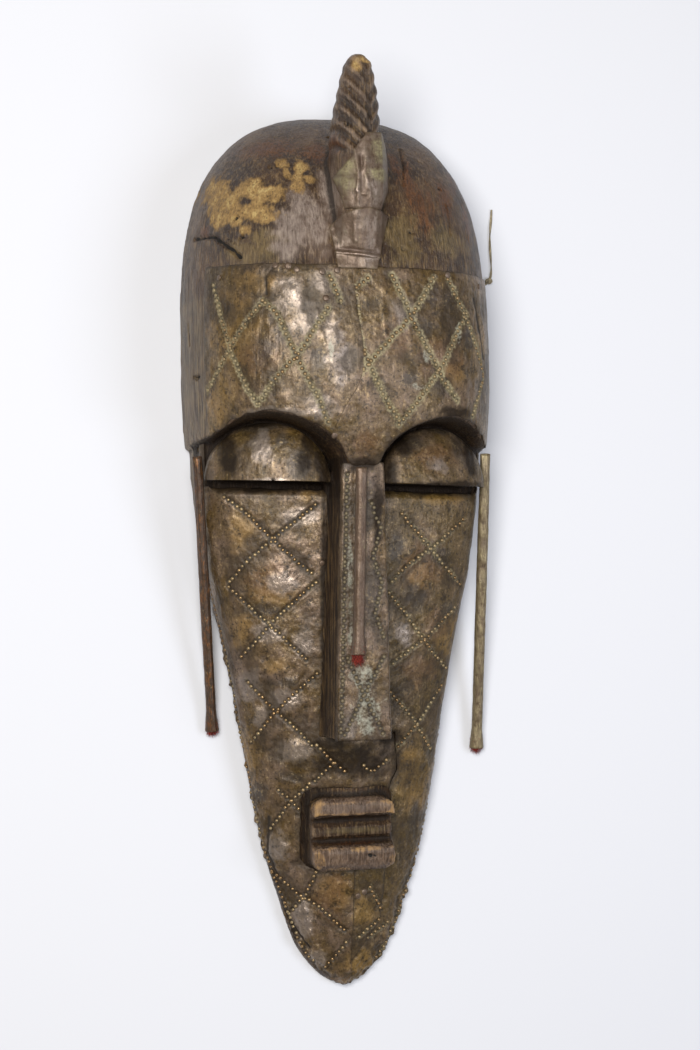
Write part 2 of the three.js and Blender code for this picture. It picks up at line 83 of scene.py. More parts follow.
def mesh_object(name, points, faces, finish, marks=None):
    """A smooth piece from points in millimetres, with a named value per point for each mark."""
    faces = np.asarray(faces, np.int32)
    mesh = bpy.data.meshes.new(name)
    mesh.vertices.add(len(points))
    mesh.loops.add(faces.size)
    mesh.polygons.add(len(faces))
    mesh.vertices.foreach_set("co", (np.asarray(points) * MM).astype(np.float32).ravel())
    mesh.loops.foreach_set("vertex_index", faces.ravel())
    mesh.polygons.foreach_set("loop_start", np.arange(0, faces.size, faces.shape[1], dtype=np.int32))
    mesh.update(calc_edges=True)
    mesh.shade_smooth()
    for mark, values in (marks or {}).items():
        layer = mesh.attributes.new(mark, "FLOAT", "POINT")
        layer.data.foreach_set("value", np.asarray(values, np.float32))
    mesh.materials.append(finish)
    piece = bpy.data.objects.new(name, mesh)
    bpy.context.collection.objects.link(piece)
    return piece


bpy.context.scene.view_settings.view_transform = "Standard"

pale, tree, shader = new_material("matt_pale_paint")
shader.inputs["Base Color"].default_value = linear(FLOOR["colour"])
shader.inputs["Roughness"].default_value = FLOOR["roughness"]
shader.inputs["Specular IOR Level"].default_value = FLOOR["gloss"]
floor_corners = np.array([[-1, -1, 0], [1, -1, 0], [1, 1, 0], [-1, 1, 0]]) * FLOOR["half_side"]
floor = mesh_object("floor", floor_corners, [[0, 1, 2, 3]], pale)

world = bpy.data.worlds.new("pale_room")
world.use_nodes = True
world.node_tree.nodes["Background"].inputs["Color"].default_value = linear(ROOM["colour"])
world.node_tree.nodes["Background"].inputs["Strength"].default_value = ROOM["strength"]
bpy.context.scene.world = world

aim = Vector(CAMERA["aim"]) * MM
for light in LIGHTS:
    lamp = bpy.data.lights.new(light["name"], "AREA")
    lamp.shape = "DISK"
    lamp.size = light["size"] * MM
    lamp.energy = light["watts"]
    lamp.color = linear(light["colour"])[:3]
    holder = bpy.data.objects.new(light["name"], lamp)
    holder.location = Vector(light["place"]) * MM
    holder.rotation_mode = "QUATERNION"
    holder.rotation_quaternion = (aim - holder.location).to_track_quat("-Z", "Y")
    bpy.context.collection.objects.link(holder)

turn = math.radians(CAMERA["turn"])
back = Vector((-math.sin(turn), 0, math.cos(turn)))
right = Vector((0, 1, 0)).cross(back)
facing = Matrix((right, back.cross(right), back)).transposed()
roll = Matrix.Rotation(math.radians(CAMERA["roll"]), 3, "Z")
camera_data = bpy.data.cameras.new("camera")
camera_data.lens = CAMERA["lens"]
camera_data.sensor_width = CAMERA["sensor"]
camera = bpy.data.objects.new("camera", camera_data)
stand = Matrix.Translation(aim + back * CAMERA["distance"] * MM)
camera.matrix_world = stand @ (facing @ roll).to_4x4()
bpy.context.collection.objects.link(camera)
bpy.context.scene.camera = camera

# The thong: a dry rawhide strip, twisted as it dried, that leaves a drilled hole in the right rim.
# It is knotted close to the rim and lies on the table. Its route is that of the CAD solid.
THONG_ROUTE = [
    (96, 166, 5), (101, 166, 4.9), (104, 166.6, 2.6), (108, 167.6, 1.4), (112, 169.4, 1.1),
    (114.6, 172.6, 1.1), (115.6, 177, 1.1), (115.8, 183, 1.1), (115.4, 190, 1.1), (115.2, 198, 1.1),
    (115.7, 206, 1.1), (116.4, 213, 1.1), (117, 220, 1.1),
]
THONG = {"diameter": 1.8, "length": 69.4, "twist": 11, "half_width": 0.86, "half_depth": 0.5,
         "uneven": 0.1, "waves": 40}
KNOT = {"place": (113.4, 171, 2.4), "size": (1.55, 1.3, 1.05), "half_turns": 6.3,
        "half_width": 0.95, "half_depth": 0.7}


def noise(points, size, seed=0):
    """Smooth random values from -1 to 1. A wave is about two sizes long, per axis if given so."""
    scaled = np.asarray(points, float) / size + 31.7 * (seed + 1)
    cell = np.floor(scaled).astype(np.int64)
    t = scaled - cell
    t = t * t * (3 - 2 * t)
    total = np.zeros(len(scaled))
    for corner in np.ndindex(2, 2, 2):
        weight = np.prod(np.where(corner, t, 1 - t), axis=1)
        total += weight * scrambled(cell + corner, seed)
    return total * 2 - 1


def scrambled(cell, seed):
    """A random value from 0 to 1 for each cell of a lattice."""
    x, y, z = (cell + 4096).T
    h = (x * 73856093 ^ y * 19349663 ^ z * 83492791 ^ (seed + 11) * 2654435761) & 0xFFFFFFFF
    h = ((h ^ (h >> 15)) * 0x2C1B3C6D) & 0xFFFFFFFF
    h = ((h ^ (h >> 12)) * 0x297A2D39) & 0xFFFFFFFF
    return (h ^ (h >> 15)) / 0xFFFFFFFF


def smooth_route(route, count):
    """Points at even steps along a smooth line through the route."""
    p = np.array(route, float)
    p = np.vstack([2 * p[0] - p[1], p, 2 * p[-1] - p[-2]])
    line = []
    for a, b, c, d in zip(p, p[1:], p[2:], p[3:]):
        for t in np.linspace(0, 1, 12, endpoint=False):
            bend = 2 * a - 5 * b + 4 * c - d + t * (3 * (b - c) + d - a)
            line.append(b + 0.5 * t * (c - a + t * bend))
    return evenly(np.array([*line, p[-2]]), count)


def reach_along(line):
    """How far along the line each of its points is."""
    return np.concatenate([[0], np.cumsum(np.linalg.norm(np.diff(line, axis=0), axis=1))])


def evenly(line, count):
    """The same line with its points at even steps."""
    reach = reach_along(line)
    at = np.linspace(0, reach[-1], count)
    return np.stack([np.interp(at, reach, values) for values in line.T], axis=1)


def swept(line, profile):
    """A closed strip along a line. profile(share) gives its outline, as [sideways, upward] points."""
    along = np.gradient(line, axis=0)
    along /= np.linalg.norm(along, axis=1, keepdims=True)
    side = np.cross(along, (0, 0, 1))
    side /= np.linalg.norm(side, axis=1, keepdims=True)
    up = np.cross(side, along)
    rings = []
    for i, share in enumerate(np.linspace(0, 1, len(line))):
        outline = np.asarray(profile(share))
        rings.append(line[i] + outline[:, :1] * side[i] + outline[:, 1:] * up[i])
    return tube_of(np.array(rings))


def tube_of(rings):
    """A closed tube of triangles through rings of points, each end shut round its middle."""
    turns, count = rings.shape[:2]
    first, last = rings[0].mean(axis=0), rings[-1].mean(axis=0)
    points = np.vstack([rings.reshape(-1, 3), first, last])
    i, j = np.meshgrid(np.arange(turns - 1), np.arange(count), indexing="ij")
    a, b = i * count + j, i * count + (j + 1) % count
    walls = np.stack([a, b, b + count, a + count], axis=-1).reshape(-1, 4)
    walls = np.vstack([walls[:, [0, 1, 2]], walls[:, [0, 2, 3]]])
    j = np.arange(count)
    base = (turns - 1) * count
    foot = np.stack([(j + 1) % count, j, np.full(count, turns * count)], axis=1)
    head = np.stack([base + j, base + (j + 1) % count, np.full(count, turns * count + 1)], axis=1)
    return points, np.vstack([walls, foot, head])


def oval(half_width, half_depth, count):
    angle = np.linspace(0, 2 * np.pi, count, endpoint=False)
    return np.stack([half_width * np.cos(angle), half_depth * np.sin(angle)], axis=1)


def strip_outline(share):
    """A flat strip that turns on itself and is a little uneven."""
    turned = THONG["twist"] * share
    thick = THONG["half_depth"] + THONG["uneven"] * np.sin(share * THONG["waves"])
    x, y = oval(THONG["half_width"], thick, 12).T
    cos, sin = np.cos(turned), np.sin(turned)
    return np.stack([x * cos - y * sin, x * sin + y * cos], axis=1)


# How much a surface reflects: plainly, and where soot and painted shade lie, which reflect less and
# look darker.
PLAIN_GLOSS, PAINTED_SHADE_GLOSS = 0.5, 0.2


def worn_finish(name, patterns, coats, bumps):
    """A material of coats, each one showing where its marks and patterns add up to enough.

    A pattern is a noise: size in mm, detail, roughness, and how many sizes long it is on each axis.
    A coat is what adds up, where it starts and is whole, its cover, its colour, metal and roughness;
    the first lies under all. The bumps are patterns with their height in mm.
    """
    material, tree, shader = new_material(name)
    place = add(tree, "ShaderNodeTexCoord", out="Object")
    fields = {}
    for key, (size, detail, coarse, *stretch) in patterns.items():
        scale = [1 / (size * s * MM) for s in stretch or (1, 1, 1)]
        laid = add(tree, "ShaderNodeMapping", inputs={"Vector": place, "Scale": scale}, out=0)
        fields[key] = add(tree, "ShaderNodeTexNoise", {"noise_type": "FBM"},
                          {"Vector": laid, "Scale": 1, "Detail": detail, "Roughness": coarse}, 0)

    def total(terms):
        value = 0.0
        for key, gain in terms.items():
            if key not in fields:
                fields[key] = add(tree, "ShaderNodeAttribute", {"attribute_name": key}, out="Fac")
            value = add(tree, "ShaderNodeMath", {"operation": "MULTIPLY_ADD"},
                        {0: fields[key], 1: gain, 2: value}, 0)
        return value

    sums = [add(tree, "ShaderNodeMapRange", inputs={
        "Value": total(terms), "From Min": low, "From Max": high, "To Max": cover}, out=0)
        for terms, low, high, cover, *_ in coats[1:]]
    for socket, column, kind, first, out in (
        ("Base Color", 4, "RGBA", 6, 2),
        ("Metallic", 5, "FLOAT", 2, 0),
        ("Roughness", 6, "FLOAT", 2, 0),
    ):
        values = [linear(coat[4]) if column == 4 else coat[column] for coat in coats]
        look = values[0]
        if len(set(values)) == 1:
            shader.inputs[socket].default_value = look
            continue
        for shows, value in zip(sums, values[1:]):
            look = add(tree, "ShaderNodeMix", {"data_type": kind},
                       {0: shows, first: look, first + 1: value}, out)
        tree.links.new(look, shader.inputs[socket])
    if "soot_and_painted_shade" in fields:
        gloss = add(tree, "ShaderNodeMapRange", inputs={
            "Value": fields["soot_and_painted_shade"], "To Min": PLAIN_GLOSS, "To Max": PAINTED_SHADE_GLOSS}, out=0)
        tree.links.new(gloss, shader.inputs["Specular IOR Level"])
    raised = add(tree, "ShaderNodeBump", inputs={
        "Strength": 1, "Distance": MM, "Height": total(bumps)}, out=0)
    tree.links.new(raised, shader.inputs["Normal"])
    return material


# Rawhide dries to a stiff grey-olive skin with pale fibres along it and dirt in its creases.
rawhide = worn_finish(
    "dry_rawhide",
    {"fibre": (1.1, 4, 0.6, 1, 3, 1), "fleck": (0.5, 3, 0.6)},
    [
        [None, 0, 0, 0, "#5d5646", 0, 0.75],
        [{"fibre": 1}, 0.4, 0.6, 0.9, "#a3977b", 0, 0.7],
        [{"fleck": 1}, 0.56, 0.66, 0.7, "#3a3226", 0, 0.85],
    ],
    {"fibre": 0.3, "fleck": 0.1},
)

thong_line = smooth_route(THONG_ROUTE, 90)
thong_points, thong_faces = swept(thong_line, strip_outline)
thong = mesh_object("thong_strip", thong_points, thong_faces, rawhide)

# The knot is the same strip, wound round itself in three tight loops that cross one another.
share = np.linspace(0, 1, 120)
wound_by = share * KNOT["half_turns"] * np.pi
wound = np.stack([
    np.sin(wound_by) * (1 + 0.15 * np.cos(share * 9)),
    np.cos(wound_by) * np.cos(share * 2.4),
    np.sin(wound_by + 0.9) * np.sin(share * 3.1 + 0.2),
], axis=1)
knot_points, knot_faces = swept(
    wound * KNOT["size"] + KNOT["place"],
    lambda share: oval(KNOT["half_width"], KNOT["half_depth"], 10),
)
knot = mesh_object("thong_knot", knot_points, knot_faces, rawhide)
for piece in (thong, knot):
    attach(piece, "root")
    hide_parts("thong")

# The carved body: one block of dark hardwood, cut with an adze and a knife, the crest with it. It
# is bare at the crown, on the left side, in the sockets, beside the nose and round the mouth.
CHIN_TIP, CREST_TIP, CROWN_TOP = -300, 301.3, 279
HALF_WIDTH, WIDEST_Y, FOREHEAD_HEIGHT, HIGHEST_Y = 100.5, 105, 119, 110
FOREHEAD_BOXY, HOLLOW_BOXY, CARVERS_SLANT = 2.8, 2.5, 0.045
# Place along the mask, half width, height on the midline, height at the cheek's edge, boxiness.
FACE = np.array([
    [CHIN_TIP, 9, 8, 6, 2.6], [-295, 16.5, 13, 8, 2.8], [-286, 25, 17, 10, 3],
    [-270, 34.5, 22, 12, 3.3], [-242, 43.5, 28.5, 15, 3.7], [-205, 54, 37, 21, 4],
    [-160, 62, 46, 27, 4.4], [-120, 68, 53, 34, 4.6], [-70, 77, 60.5, 42, 4.8],
    [-15, 88.5, 67, 48.5, 5], [30, 94.5, 72, 53, 5], [66, 96, 74, 56, 5], [100, 96, 76, 58, 5],
], float)
HOLLOW = np.array([
    [-262, 17, 6], [-245, 27, 13], [-200, 39, 21], [-130, 52, 33], [-60, 64, 44], [0, 76, 51],
    [50, 82, 54], [90, 85, 72], [130, 86, 96], [175, 84, 97], [215, 74, 80], [245, 52, 46],
    [260, 26, 14],
], float)
# Place along the mask, half width, front, back.
CREST = np.array([
    [170, 11.5, 116.5, 96], [190, 14, 121, 88], [208, 14.8, 126, 80], [224, 15, 128, 70],
    [245, 15.4, 126, 72], [265, 14.7, 124.5, 88], [280, 12.3, 125, 98], [290, 10.2, 125.5, 104],
    [296.5, 8, 123.5, 107], [300.2, 5, 120.5, 111], [CREST_TIP, 3.2, 119, 113.5],
], float)
CREST_SQUARENESS = 0.85
BRAID = {"fade_in_y": 236, "fade_in": 5, "pitch": 10.6, "depth": 3.6, "seam_x": 5.6, "left_slope": 1.05,
         "right_slope": 1.9, "full_half": 15, "sharpness": 0.8, "shallower": 0.55, "parting": 0.9,
         "parting_width": 1.1}
BROW_EDGE_Z, SOCKET_FOOT_Z = 108, 64
BROW_EDGE = np.array([
    [0, 44], [9, 45], [15, 55], [25, 64], [42, 73], [62, 77], [80, 74], [97, 66], [125, 64],
], float)
SOCKET_FOOT = np.array([
    [0, 42], [12, 42], [18, 47], [28, 61], [42, 70], [58, 72.5], [76, 68], [88, 62], [125, 61],
], float)
LID = {"middle_x": 54.5, "lower_y": 33.5, "half_width": 37, "height": 36.5, "inner_z": 80,
       "outer_z": 51, "bulge": 17, "foot_z": 44, "top_gap": 0.02}
SLIT = {"lower_y": 25, "inner_x": 18.5, "outer_x": 90, "depth": 9}
NOSE = {"top_y": 47, "tip_y": -131, "top_z": 105, "tip_z": 88, "top_half": 12.6, "tip_half": 17,
        "draft": 0.087, "corner": 2.5, "foot_z": 30}
MOUTH = {"half": 28, "top_y": -171.5, "bottom_y": -220.5, "corner": 9}
MOUTH_PROFILE = [
    [-171.5, 25], [-171.5, 49], [-174.5, 53.5], [-183.5, 53.5], [-185.5, 42], [-188, 39.5],
    [-191, 44], [-197, 44.5], [-200, 40], [-202, 41], [-203.5, 51.5], [-207, 53], [-216, 50.5],
    [-220.5, 45], [-220.5, 20],
]
HOLE_RADIUS = 1.7
MESH_SIZE = 1.42
# How round the midline of the face is, and the two roots that fit its slope to 0 and 1.
RIDGE = {"rounding": 0.008, "low_root": 0.0894, "high_root": 1.004}


def between(stations, column, place):
    """A smooth value between stations."""
    place = np.asarray(place, float)
    at, values = stations[:, 0], stations[:, column]
    b = np.clip(np.searchsorted(at, place), 1, len(at) - 1)
    a = b - 1
    before, after = np.maximum(a - 1, 0), np.minimum(b + 1, len(at) - 1)
    span = at[b] - at[a]
    t = np.clip((place - at[a]) / span, 0, 1)
    leaving = (values[b] - values[before]) / (at[b] - at[before]) * span
    arriving = (values[after] - values[a]) / (at[after] - at[a]) * span
    return (values[a] * (1 + 2 * t) * (1 - t) ** 2 + leaving * t * (1 - t) ** 2
            + values[b] * t * t * (3 - 2 * t) + arriving * t * t * (t - 1))


def above(value, limit, fade):
    """1 well above the limit, fading to 0 at it."""
    return np.clip((value - limit) / fade, 0, 1)


def below(value, limit, fade):
    """1 well below the limit, fading to 0 at it."""
    return np.clip((limit - value) / fade, 0, 1)


def section(y, half, ridge, edge, boxy, count):
    """Half of a boxy oval over the mask, from the right rim to the left rim, at even steps."""
    share = np.cos(np.linspace(0, np.pi, 1201))
    slope = np.sqrt(share ** 2 + RIDGE["rounding"]) - RIDGE["low_root"]
    slope /= RIDGE["high_root"] - RIDGE["low_root"]
    height = (ridge + (edge - ridge) * slope) * (1 - np.abs(share) ** boxy) ** (1 / boxy)
    return evenly(np.stack([half * share, np.full(1201, y), height], axis=1), count)


def dome(share, power, root):
    return (1 - np.maximum(share, 0) ** power) ** (1 / root)


def forehead_half(y):
    if y < WIDEST_Y:
        return HALF_WIDTH - 0.0009 * (WIDEST_Y - y) ** 2
    return HALF_WIDTH * dome((y - WIDEST_Y) / (CROWN_TOP - WIDEST_Y), 3.3, 2.6)


def forehead_height(y):
    if y < HIGHEST_Y:
        return FOREHEAD_HEIGHT - 0.003 * (HIGHEST_Y - y) ** 2
    return FOREHEAD_HEIGHT * dome((y - HIGHEST_Y) / (CROWN_TOP - HIGHEST_Y), 2.6, 2)


def forehead_ring(y, offset, count):
    height = forehead_height(y) + offset
    return section(y, forehead_half(y) + offset, height, height, FOREHEAD_BOXY, count)


def face_ring(y, offset, count, sunk=0):
    ridge, edge = (max(between(FACE, k, y) - sunk, 2) + offset for k in (2, 3))
    return section(y, between(FACE, 1, y) + offset, ridge, edge, between(FACE, 4, y), count)


def crest_ring(y, count):
    """An outline of the crest with the braid cut in it."""
    half, front, rear = (between(CREST, k, y) for k in (1, 2, 3))
    angle = np.linspace(0, 2 * np.pi, count, endpoint=False)
    side = np.sign(np.cos(angle)) * np.abs(np.cos(angle)) ** CREST_SQUARENESS
    rise = np.sign(np.sin(angle)) * np.abs(np.sin(angle)) ** CREST_SQUARENESS
    fade = above(y, BRAID["fade_in_y"], BRAID["fade_in"]) * half / BRAID["full_half"]
    from_seam = side * half - BRAID["seam_x"] * half / BRAID["full_half"]
    slope = np.where(from_seam < 0, BRAID["left_slope"], BRAID["right_slope"])
    strand = (y - np.abs(from_seam) * slope) / BRAID["pitch"] + 0.5 * (from_seam > 0)
    groove = 1 - np.abs(np.sin(np.pi * strand)) ** BRAID["sharpness"]
    groove *= BRAID["depth"] * fade * (1 - BRAID["shallower"] * side ** 6)
    parting = BRAID["parting"] * BRAID["depth"] * fade * (rise > 0)
    reach = -groove - parting * np.exp(-(from_seam / BRAID["parting_width"]) ** 2)
    x, z = side * (half + reach), (front + rear) / 2 + rise * ((front - rear) / 2 + reach)
    return np.stack([x, np.full(count, y), z], axis=1)


def closed(name, rings):
    """A closed solid through rings of points, for carving with."""
    rings = np.asarray(rings)
    if signed_volume(*tube_of(rings)) < 0:
        rings = rings[:, ::-1]
    return mesh_object(name, *tube_of(rings), pale)


def signed_volume(points, triangles):
    a, b, c = (points[triangles[:, k]] for k in range(3))
    return np.einsum("ij,ij->i", a, np.cross(b, c)).sum() / 6


def prism(name, outline, low, high):
    outline = np.asarray(outline, float)
    rings = [np.column_stack([outline, np.full(len(outline), z)]) for z in (low, high)]
    return closed(name, rings)


def slanted(x, y):
    return y - CARVERS_SLANT * x


def lid_grid(side, offset, rows, columns, wall):
    """One eyelid: a half dome over a straight lower edge, and the wall round its foot."""
    grid = []
    angle = np.linspace(0, np.pi, columns)
    for tilt in np.linspace(LID["top_gap"], np.pi / 2, rows):
        across = np.sin(tilt) * np.cos(angle)
        base = LID["inner_z"] + (LID["outer_z"] - LID["inner_z"]) * (across + 1) / 2
        x = LID["middle_x"] + (LID["half_width"] + offset) * across
        y = LID["lower_y"] + (LID["height"] + offset) * np.sin(tilt) * np.sin(angle)
        z = base + offset + LID["bulge"] * np.cos(tilt)
        grid.append(np.stack([side * x, slanted(side * x, y), z], axis=1))
    rim = grid[-1]
    for share in wall:
        foot = rim.copy()
        foot[:, 2] += (LID["foot_z"] - rim[:, 2]) * share
        grid.append(foot)
    return np.array(grid)


def nose_share(y):
    return (y - NOSE["tip_y"]) / (NOSE["top_y"] - NOSE["tip_y"])


def nose_front(y):
    return NOSE["tip_z"] + (NOSE["top_z"] - NOSE["tip_z"]) * nose_share(y)


def nose_half(y):
    return NOSE["tip_half"] + (NOSE["top_half"] - NOSE["tip_half"]) * nose_share(y)


def nose_ring(y):
    half, front = nose_half(y), nose_front(y)
    foot = half + NOSE["draft"] * (front - NOSE["foot_z"])
    right = [[half - NOSE["corner"], front], [half, front - NOSE["corner"]], [foot, NOSE["foot_z"]]]
    outline = np.array([[-x, z] for x, z in right[::-1]] + right)
    return np.column_stack([outline[:, 0], np.full(6, y), outline[:, 1]])


def mouth_outline(grow=0):
    half, corner = MOUTH["half"] + grow, MOUTH["corner"]
    low, high = MOUTH["bottom_y"] - grow + corner, MOUTH["top_y"] + grow - corner
    outline = []
    for side, y, start in ((1, low, -90), (1, high, 0), (-1, high, 90), (-1, low, 180)):
        middle_x = side * (half - corner)
        for angle in np.radians(np.linspace(start, start + 90, 8)):
            outline.append([middle_x + corner * np.cos(angle), y + corner * np.sin(angle)])
    return outline


def brow_line(x, z):
    """Where the carving under the brow stops, at a height above the rim."""
    share = (z - SOCKET_FOOT_Z) / (BROW_EDGE_Z - SOCKET_FOOT_Z)
    foot, edge = between(SOCKET_FOOT, 1, np.abs(x)), between(BROW_EDGE, 1, np.abs(x))
    return slanted(x, foot + (edge - foot) * share)


def socket_ring(z):
    widest = BROW_EDGE[-1, 0]
    x = np.linspace(-widest, widest, 161)
    line = np.column_stack([x, brow_line(x, z)])
    outline = np.vstack([line, [[widest, 0], [-widest, 0]]])
    return np.column_stack([outline, np.full(len(outline), z)])


def evaluated(piece):
    """The piece's mesh with its modifiers done, which are then taken off."""
    bpy.context.view_layer.update()
    graph = bpy.context.evaluated_depsgraph_get()
    done = bpy.data.meshes.new_from_object(piece.evaluated_get(graph))
    piece.modifiers.clear()
    piece.data = done
    return done


def carve(piece, tool, how):
    """Joins the tool to the piece, or takes it away; evaluated() then does it."""
    step = piece.modifiers.new(how, "BOOLEAN")
    step.operation = how
    step.solver = "MANIFOLD"
    step.object = tool


# The rings stand closer together where the crown and the chin round off.
crown_places = np.concatenate([np.arange(30, 250, 3), CROWN_TOP - np.linspace(5.2, 0.25, 22) ** 2])
wood_block = closed("wood_block", [forehead_ring(y, 0, 161) for y in crown_places])
face_places = np.concatenate([CHIN_TIP + np.linspace(0, 3.9, 10) ** 2, np.arange(-281, 100.5, 3)])
face_block = closed("face_block", [face_ring(y, 0, 161) for y in face_places])
tools = [closed("under_brow", [socket_ring(-10), socket_ring(140)]), face_block]
carve(wood_block, tools[0], "DIFFERENCE")
carve(wood_block, face_block, "UNION")
for side in (-1, 1):
    slit_x = side * np.array([SLIT["inner_x"], SLIT["outer_x"], SLIT["outer_x"], SLIT["inner_x"]])
    slit_y = slanted(slit_x, np.array([SLIT["lower_y"]] * 2 + [LID["lower_y"] + 3] * 2))
    slit = prism("slit", np.column_stack([slit_x, slit_y]), 20, 95)
    floor_rings = [face_ring(y, 0, 121, SLIT["depth"]) for y in range(-40, 99, 6)]
    floor_of_slit = closed("slit_floor", floor_rings)
    carve(slit, floor_of_slit, "DIFFERENCE")
    evaluated(slit)
    carve(wood_block, slit, "DIFFERENCE")
    lid_solid = closed("lid", lid_grid(side, 0, 26, 49, [1]))
    carve(wood_block, lid_solid, "UNION")
    tools += [slit, floor_of_slit, lid_solid]
nose_block = closed("nose_block", [nose_ring(NOSE["tip_y"]), nose_ring(NOSE["top_y"] + 8)])
mouth_bar = closed("mouth_bar", [[[x, y, z] for y, z in MOUTH_PROFILE] for x in (-40, 40)])
mouth_block = prism("mouth_block", mouth_outline(), 10, 70)
carve(mouth_block, mouth_bar, "INTERSECT")
evaluated(mouth_block)
crest_places = np.concatenate([
    np.arange(170, 240, 4), np.arange(240, 299, 0.8), [299, 300.4, CREST_TIP]])
crest_block = closed("crest_block", [crest_ring(y, 130) for y in crest_places])


def hollow_ring(y):
    half, ridge = between(HOLLOW, 1, y), between(HOLLOW, 2, y)
    ring = section(y, half, ridge, ridge, HOLLOW_BOXY, 81)
    ring[[0, -1], 2] = -4
    return ring


hollow = closed("hollow", [hollow_ring(y) for y in np.linspace(-262, 260, 120)])
angle = np.linspace(0, 2 * np.pi, 16, endpoint=False)
hole_ring = np.column_stack([np.zeros(16), HOLE_RADIUS * np.cos(angle), HOLE_RADIUS * np.sin(angle)])
hole = closed("hole", [hole_ring + THONG_ROUTE[0] + np.array([x, 0, 0]) for x in (-20, 20)])
for tool in (nose_block, mouth_block, crest_block):
    carve(wood_block, tool, "UNION")
for tool in (hollow, hole):
    carve(wood_block, tool, "DIFFERENCE")
remesh = wood_block.modifiers.new("even_mesh", "REMESH")
remesh.mode = "VOXEL"
remesh.voxel_size = MESH_SIZE * MM
evaluated(wood_block)
tools += [nose_block, mouth_bar, mouth_block, crest_block, hollow, hole]
for tool in tools:
    bpy.data.objects.remove(tool)


def points_of(mesh):
    places = np.empty(len(mesh.vertices) * 3, np.float32)
    mesh.vertices.foreach_get("co", places)
    return places.reshape(-1, 3).astype(float) / MM


def pairs_of(mesh):
    pairs = np.empty(len(mesh.edges) * 2, np.int32)
    mesh.edges.foreach_get("vertices", pairs)
    return pairs.reshape(-1, 2)


def normals_of(points, faces):
    """A direction outwards at each point, from the faces round it."""
    corners = faces.shape[1]
    a, b, c, d = (points[faces[:, k]] for k in (0, 1, 2, -1))
    across = np.cross(c - a, d - b) if corners == 4 else np.cross(b - a, c - a)
    total = np.stack([np.bincount(faces.ravel(), np.repeat(part, corners), len(points))
                      for part in across.T], axis=1)
    return total / np.maximum(np.linalg.norm(total, axis=1, keepdims=True), 1e-9)


def smoothed(values, pairs, rounds):
    """Each point's value, evened out over its neighbours."""
    a, b = pairs.T
    shares = np.maximum(np.bincount(pairs.ravel(), minlength=len(values)), 1)[:, None]
    for _ in range(rounds):
        total = [np.bincount(a, v[b], len(v)) + np.bincount(b, v[a], len(v)) for v in values.T]
        values = 0.4 * values + 0.6 * np.array(total).T / shares
    return values


def distance_to(points, line):
    """How far each point is from a line of straight pieces."""
    nearest = np.full(len(points), np.inf)
    line = np.asarray(line, float)
    for a, b in zip(line, line[1:]):
        t = np.clip((points - a) @ (b - a) / ((b - a) @ (b - a)), 0, 1)
        nearest = np.minimum(nearest, np.linalg.norm(points - a - t[:, None] * (b - a), axis=1))
    return nearest


def waves(points, layers):
    """The sum of noises given as [height, size, seed]; a folded one has creases instead of waves."""
    total = np.zeros(len(points))
    for height, size, seed, *folded in layers:
        wave = noise(points, size, seed)
        total += height * (np.abs(wave) if folded else wave)
    return total


def ovals(points, places, seed):
    """1 inside any of the ovals, fading over ragged edges to 0."""
    ragged = waves(points, [(0.3, 7, seed), (0.2, 2.6, seed + 1)])
    total = np.zeros(len(points))
    for x, y, wide, high in places:
        away = np.hypot((points[:, 0] - x) / wide, (points[:, 1] - y) / high) + ragged
        total = np.maximum(total, np.clip((1.3 - away) / 0.8, 0, 1))
    return total


def thinned(piece, hidden, share):
    """Takes faces out of the hidden part of a mesh until this share of them is left."""
    piece.vertex_groups.new(name="hidden").add(np.flatnonzero(hidden).tolist(), 1.0, "REPLACE")
    step = piece.modifiers.new("thinned", "DECIMATE")
    step.ratio = share
    step.vertex_group = "hidden"
    evaluated(piece).shade_smooth()
    piece.vertex_groups.clear()


# Cracks as [half width, depth, route], and beetle holes as [x, y, radius], on the bare wood.
CRACKS = [
    [1.1, 2.5, [(-95, 195, 36), (-93.2, 194.5, 43), (-90.9, 193.8, 53.5), (-86.4, 192.8, 67),
                (-84.2, 190.1, 73), (-82.3, 187.7, 77), (-77.4, 182.2, 86), (-73.4, 177, 92)]],
    [0.5, 1.5, [(-86.4, 192.8, 67), (-80, 191, 79), (-75, 186, 87)]],
    [0.6, 2, [(-98.6, 140, 35), (-98.8, 126, 38)]],
    [0.5, 1.5, [(36.9, 249, 71), (36, 236, 84), (33, 222, 94)]],
    [0.5, 1.5, [(62, 211, 88), (62, 190, 97)]],
    [0.5, 1.5, [(-34, 222, 94), (-38, 200, 102), (-41, 178, 108)]],
    [0.6, 2.5, [(-12, -184, 54), (-12, -172, 55)]],
    [0.5, 1.2, [(8, -207, 54), (8.5, -219, 50)]],
]
BEETLE_HOLES = [
    (-46, 236.5, 1), (-50.5, 236, 0.8), (-74, 203, 1.1), (-72, 190, 0.9), (34, 191, 0.9),
    (28, 180, 0.8), (-8.6, 257, 0.7), (10.3, -210.4, 1.2), (13, -211, 0.8), (-94.5, 57.6, 1.1),
    (-97, 104, 0.8), (60, 222, 0.8),
]
HOLE_DEPTH, SUNK_UNDER_SHEETS, OVER_RIM_Z = 2.5, 2.8, 30
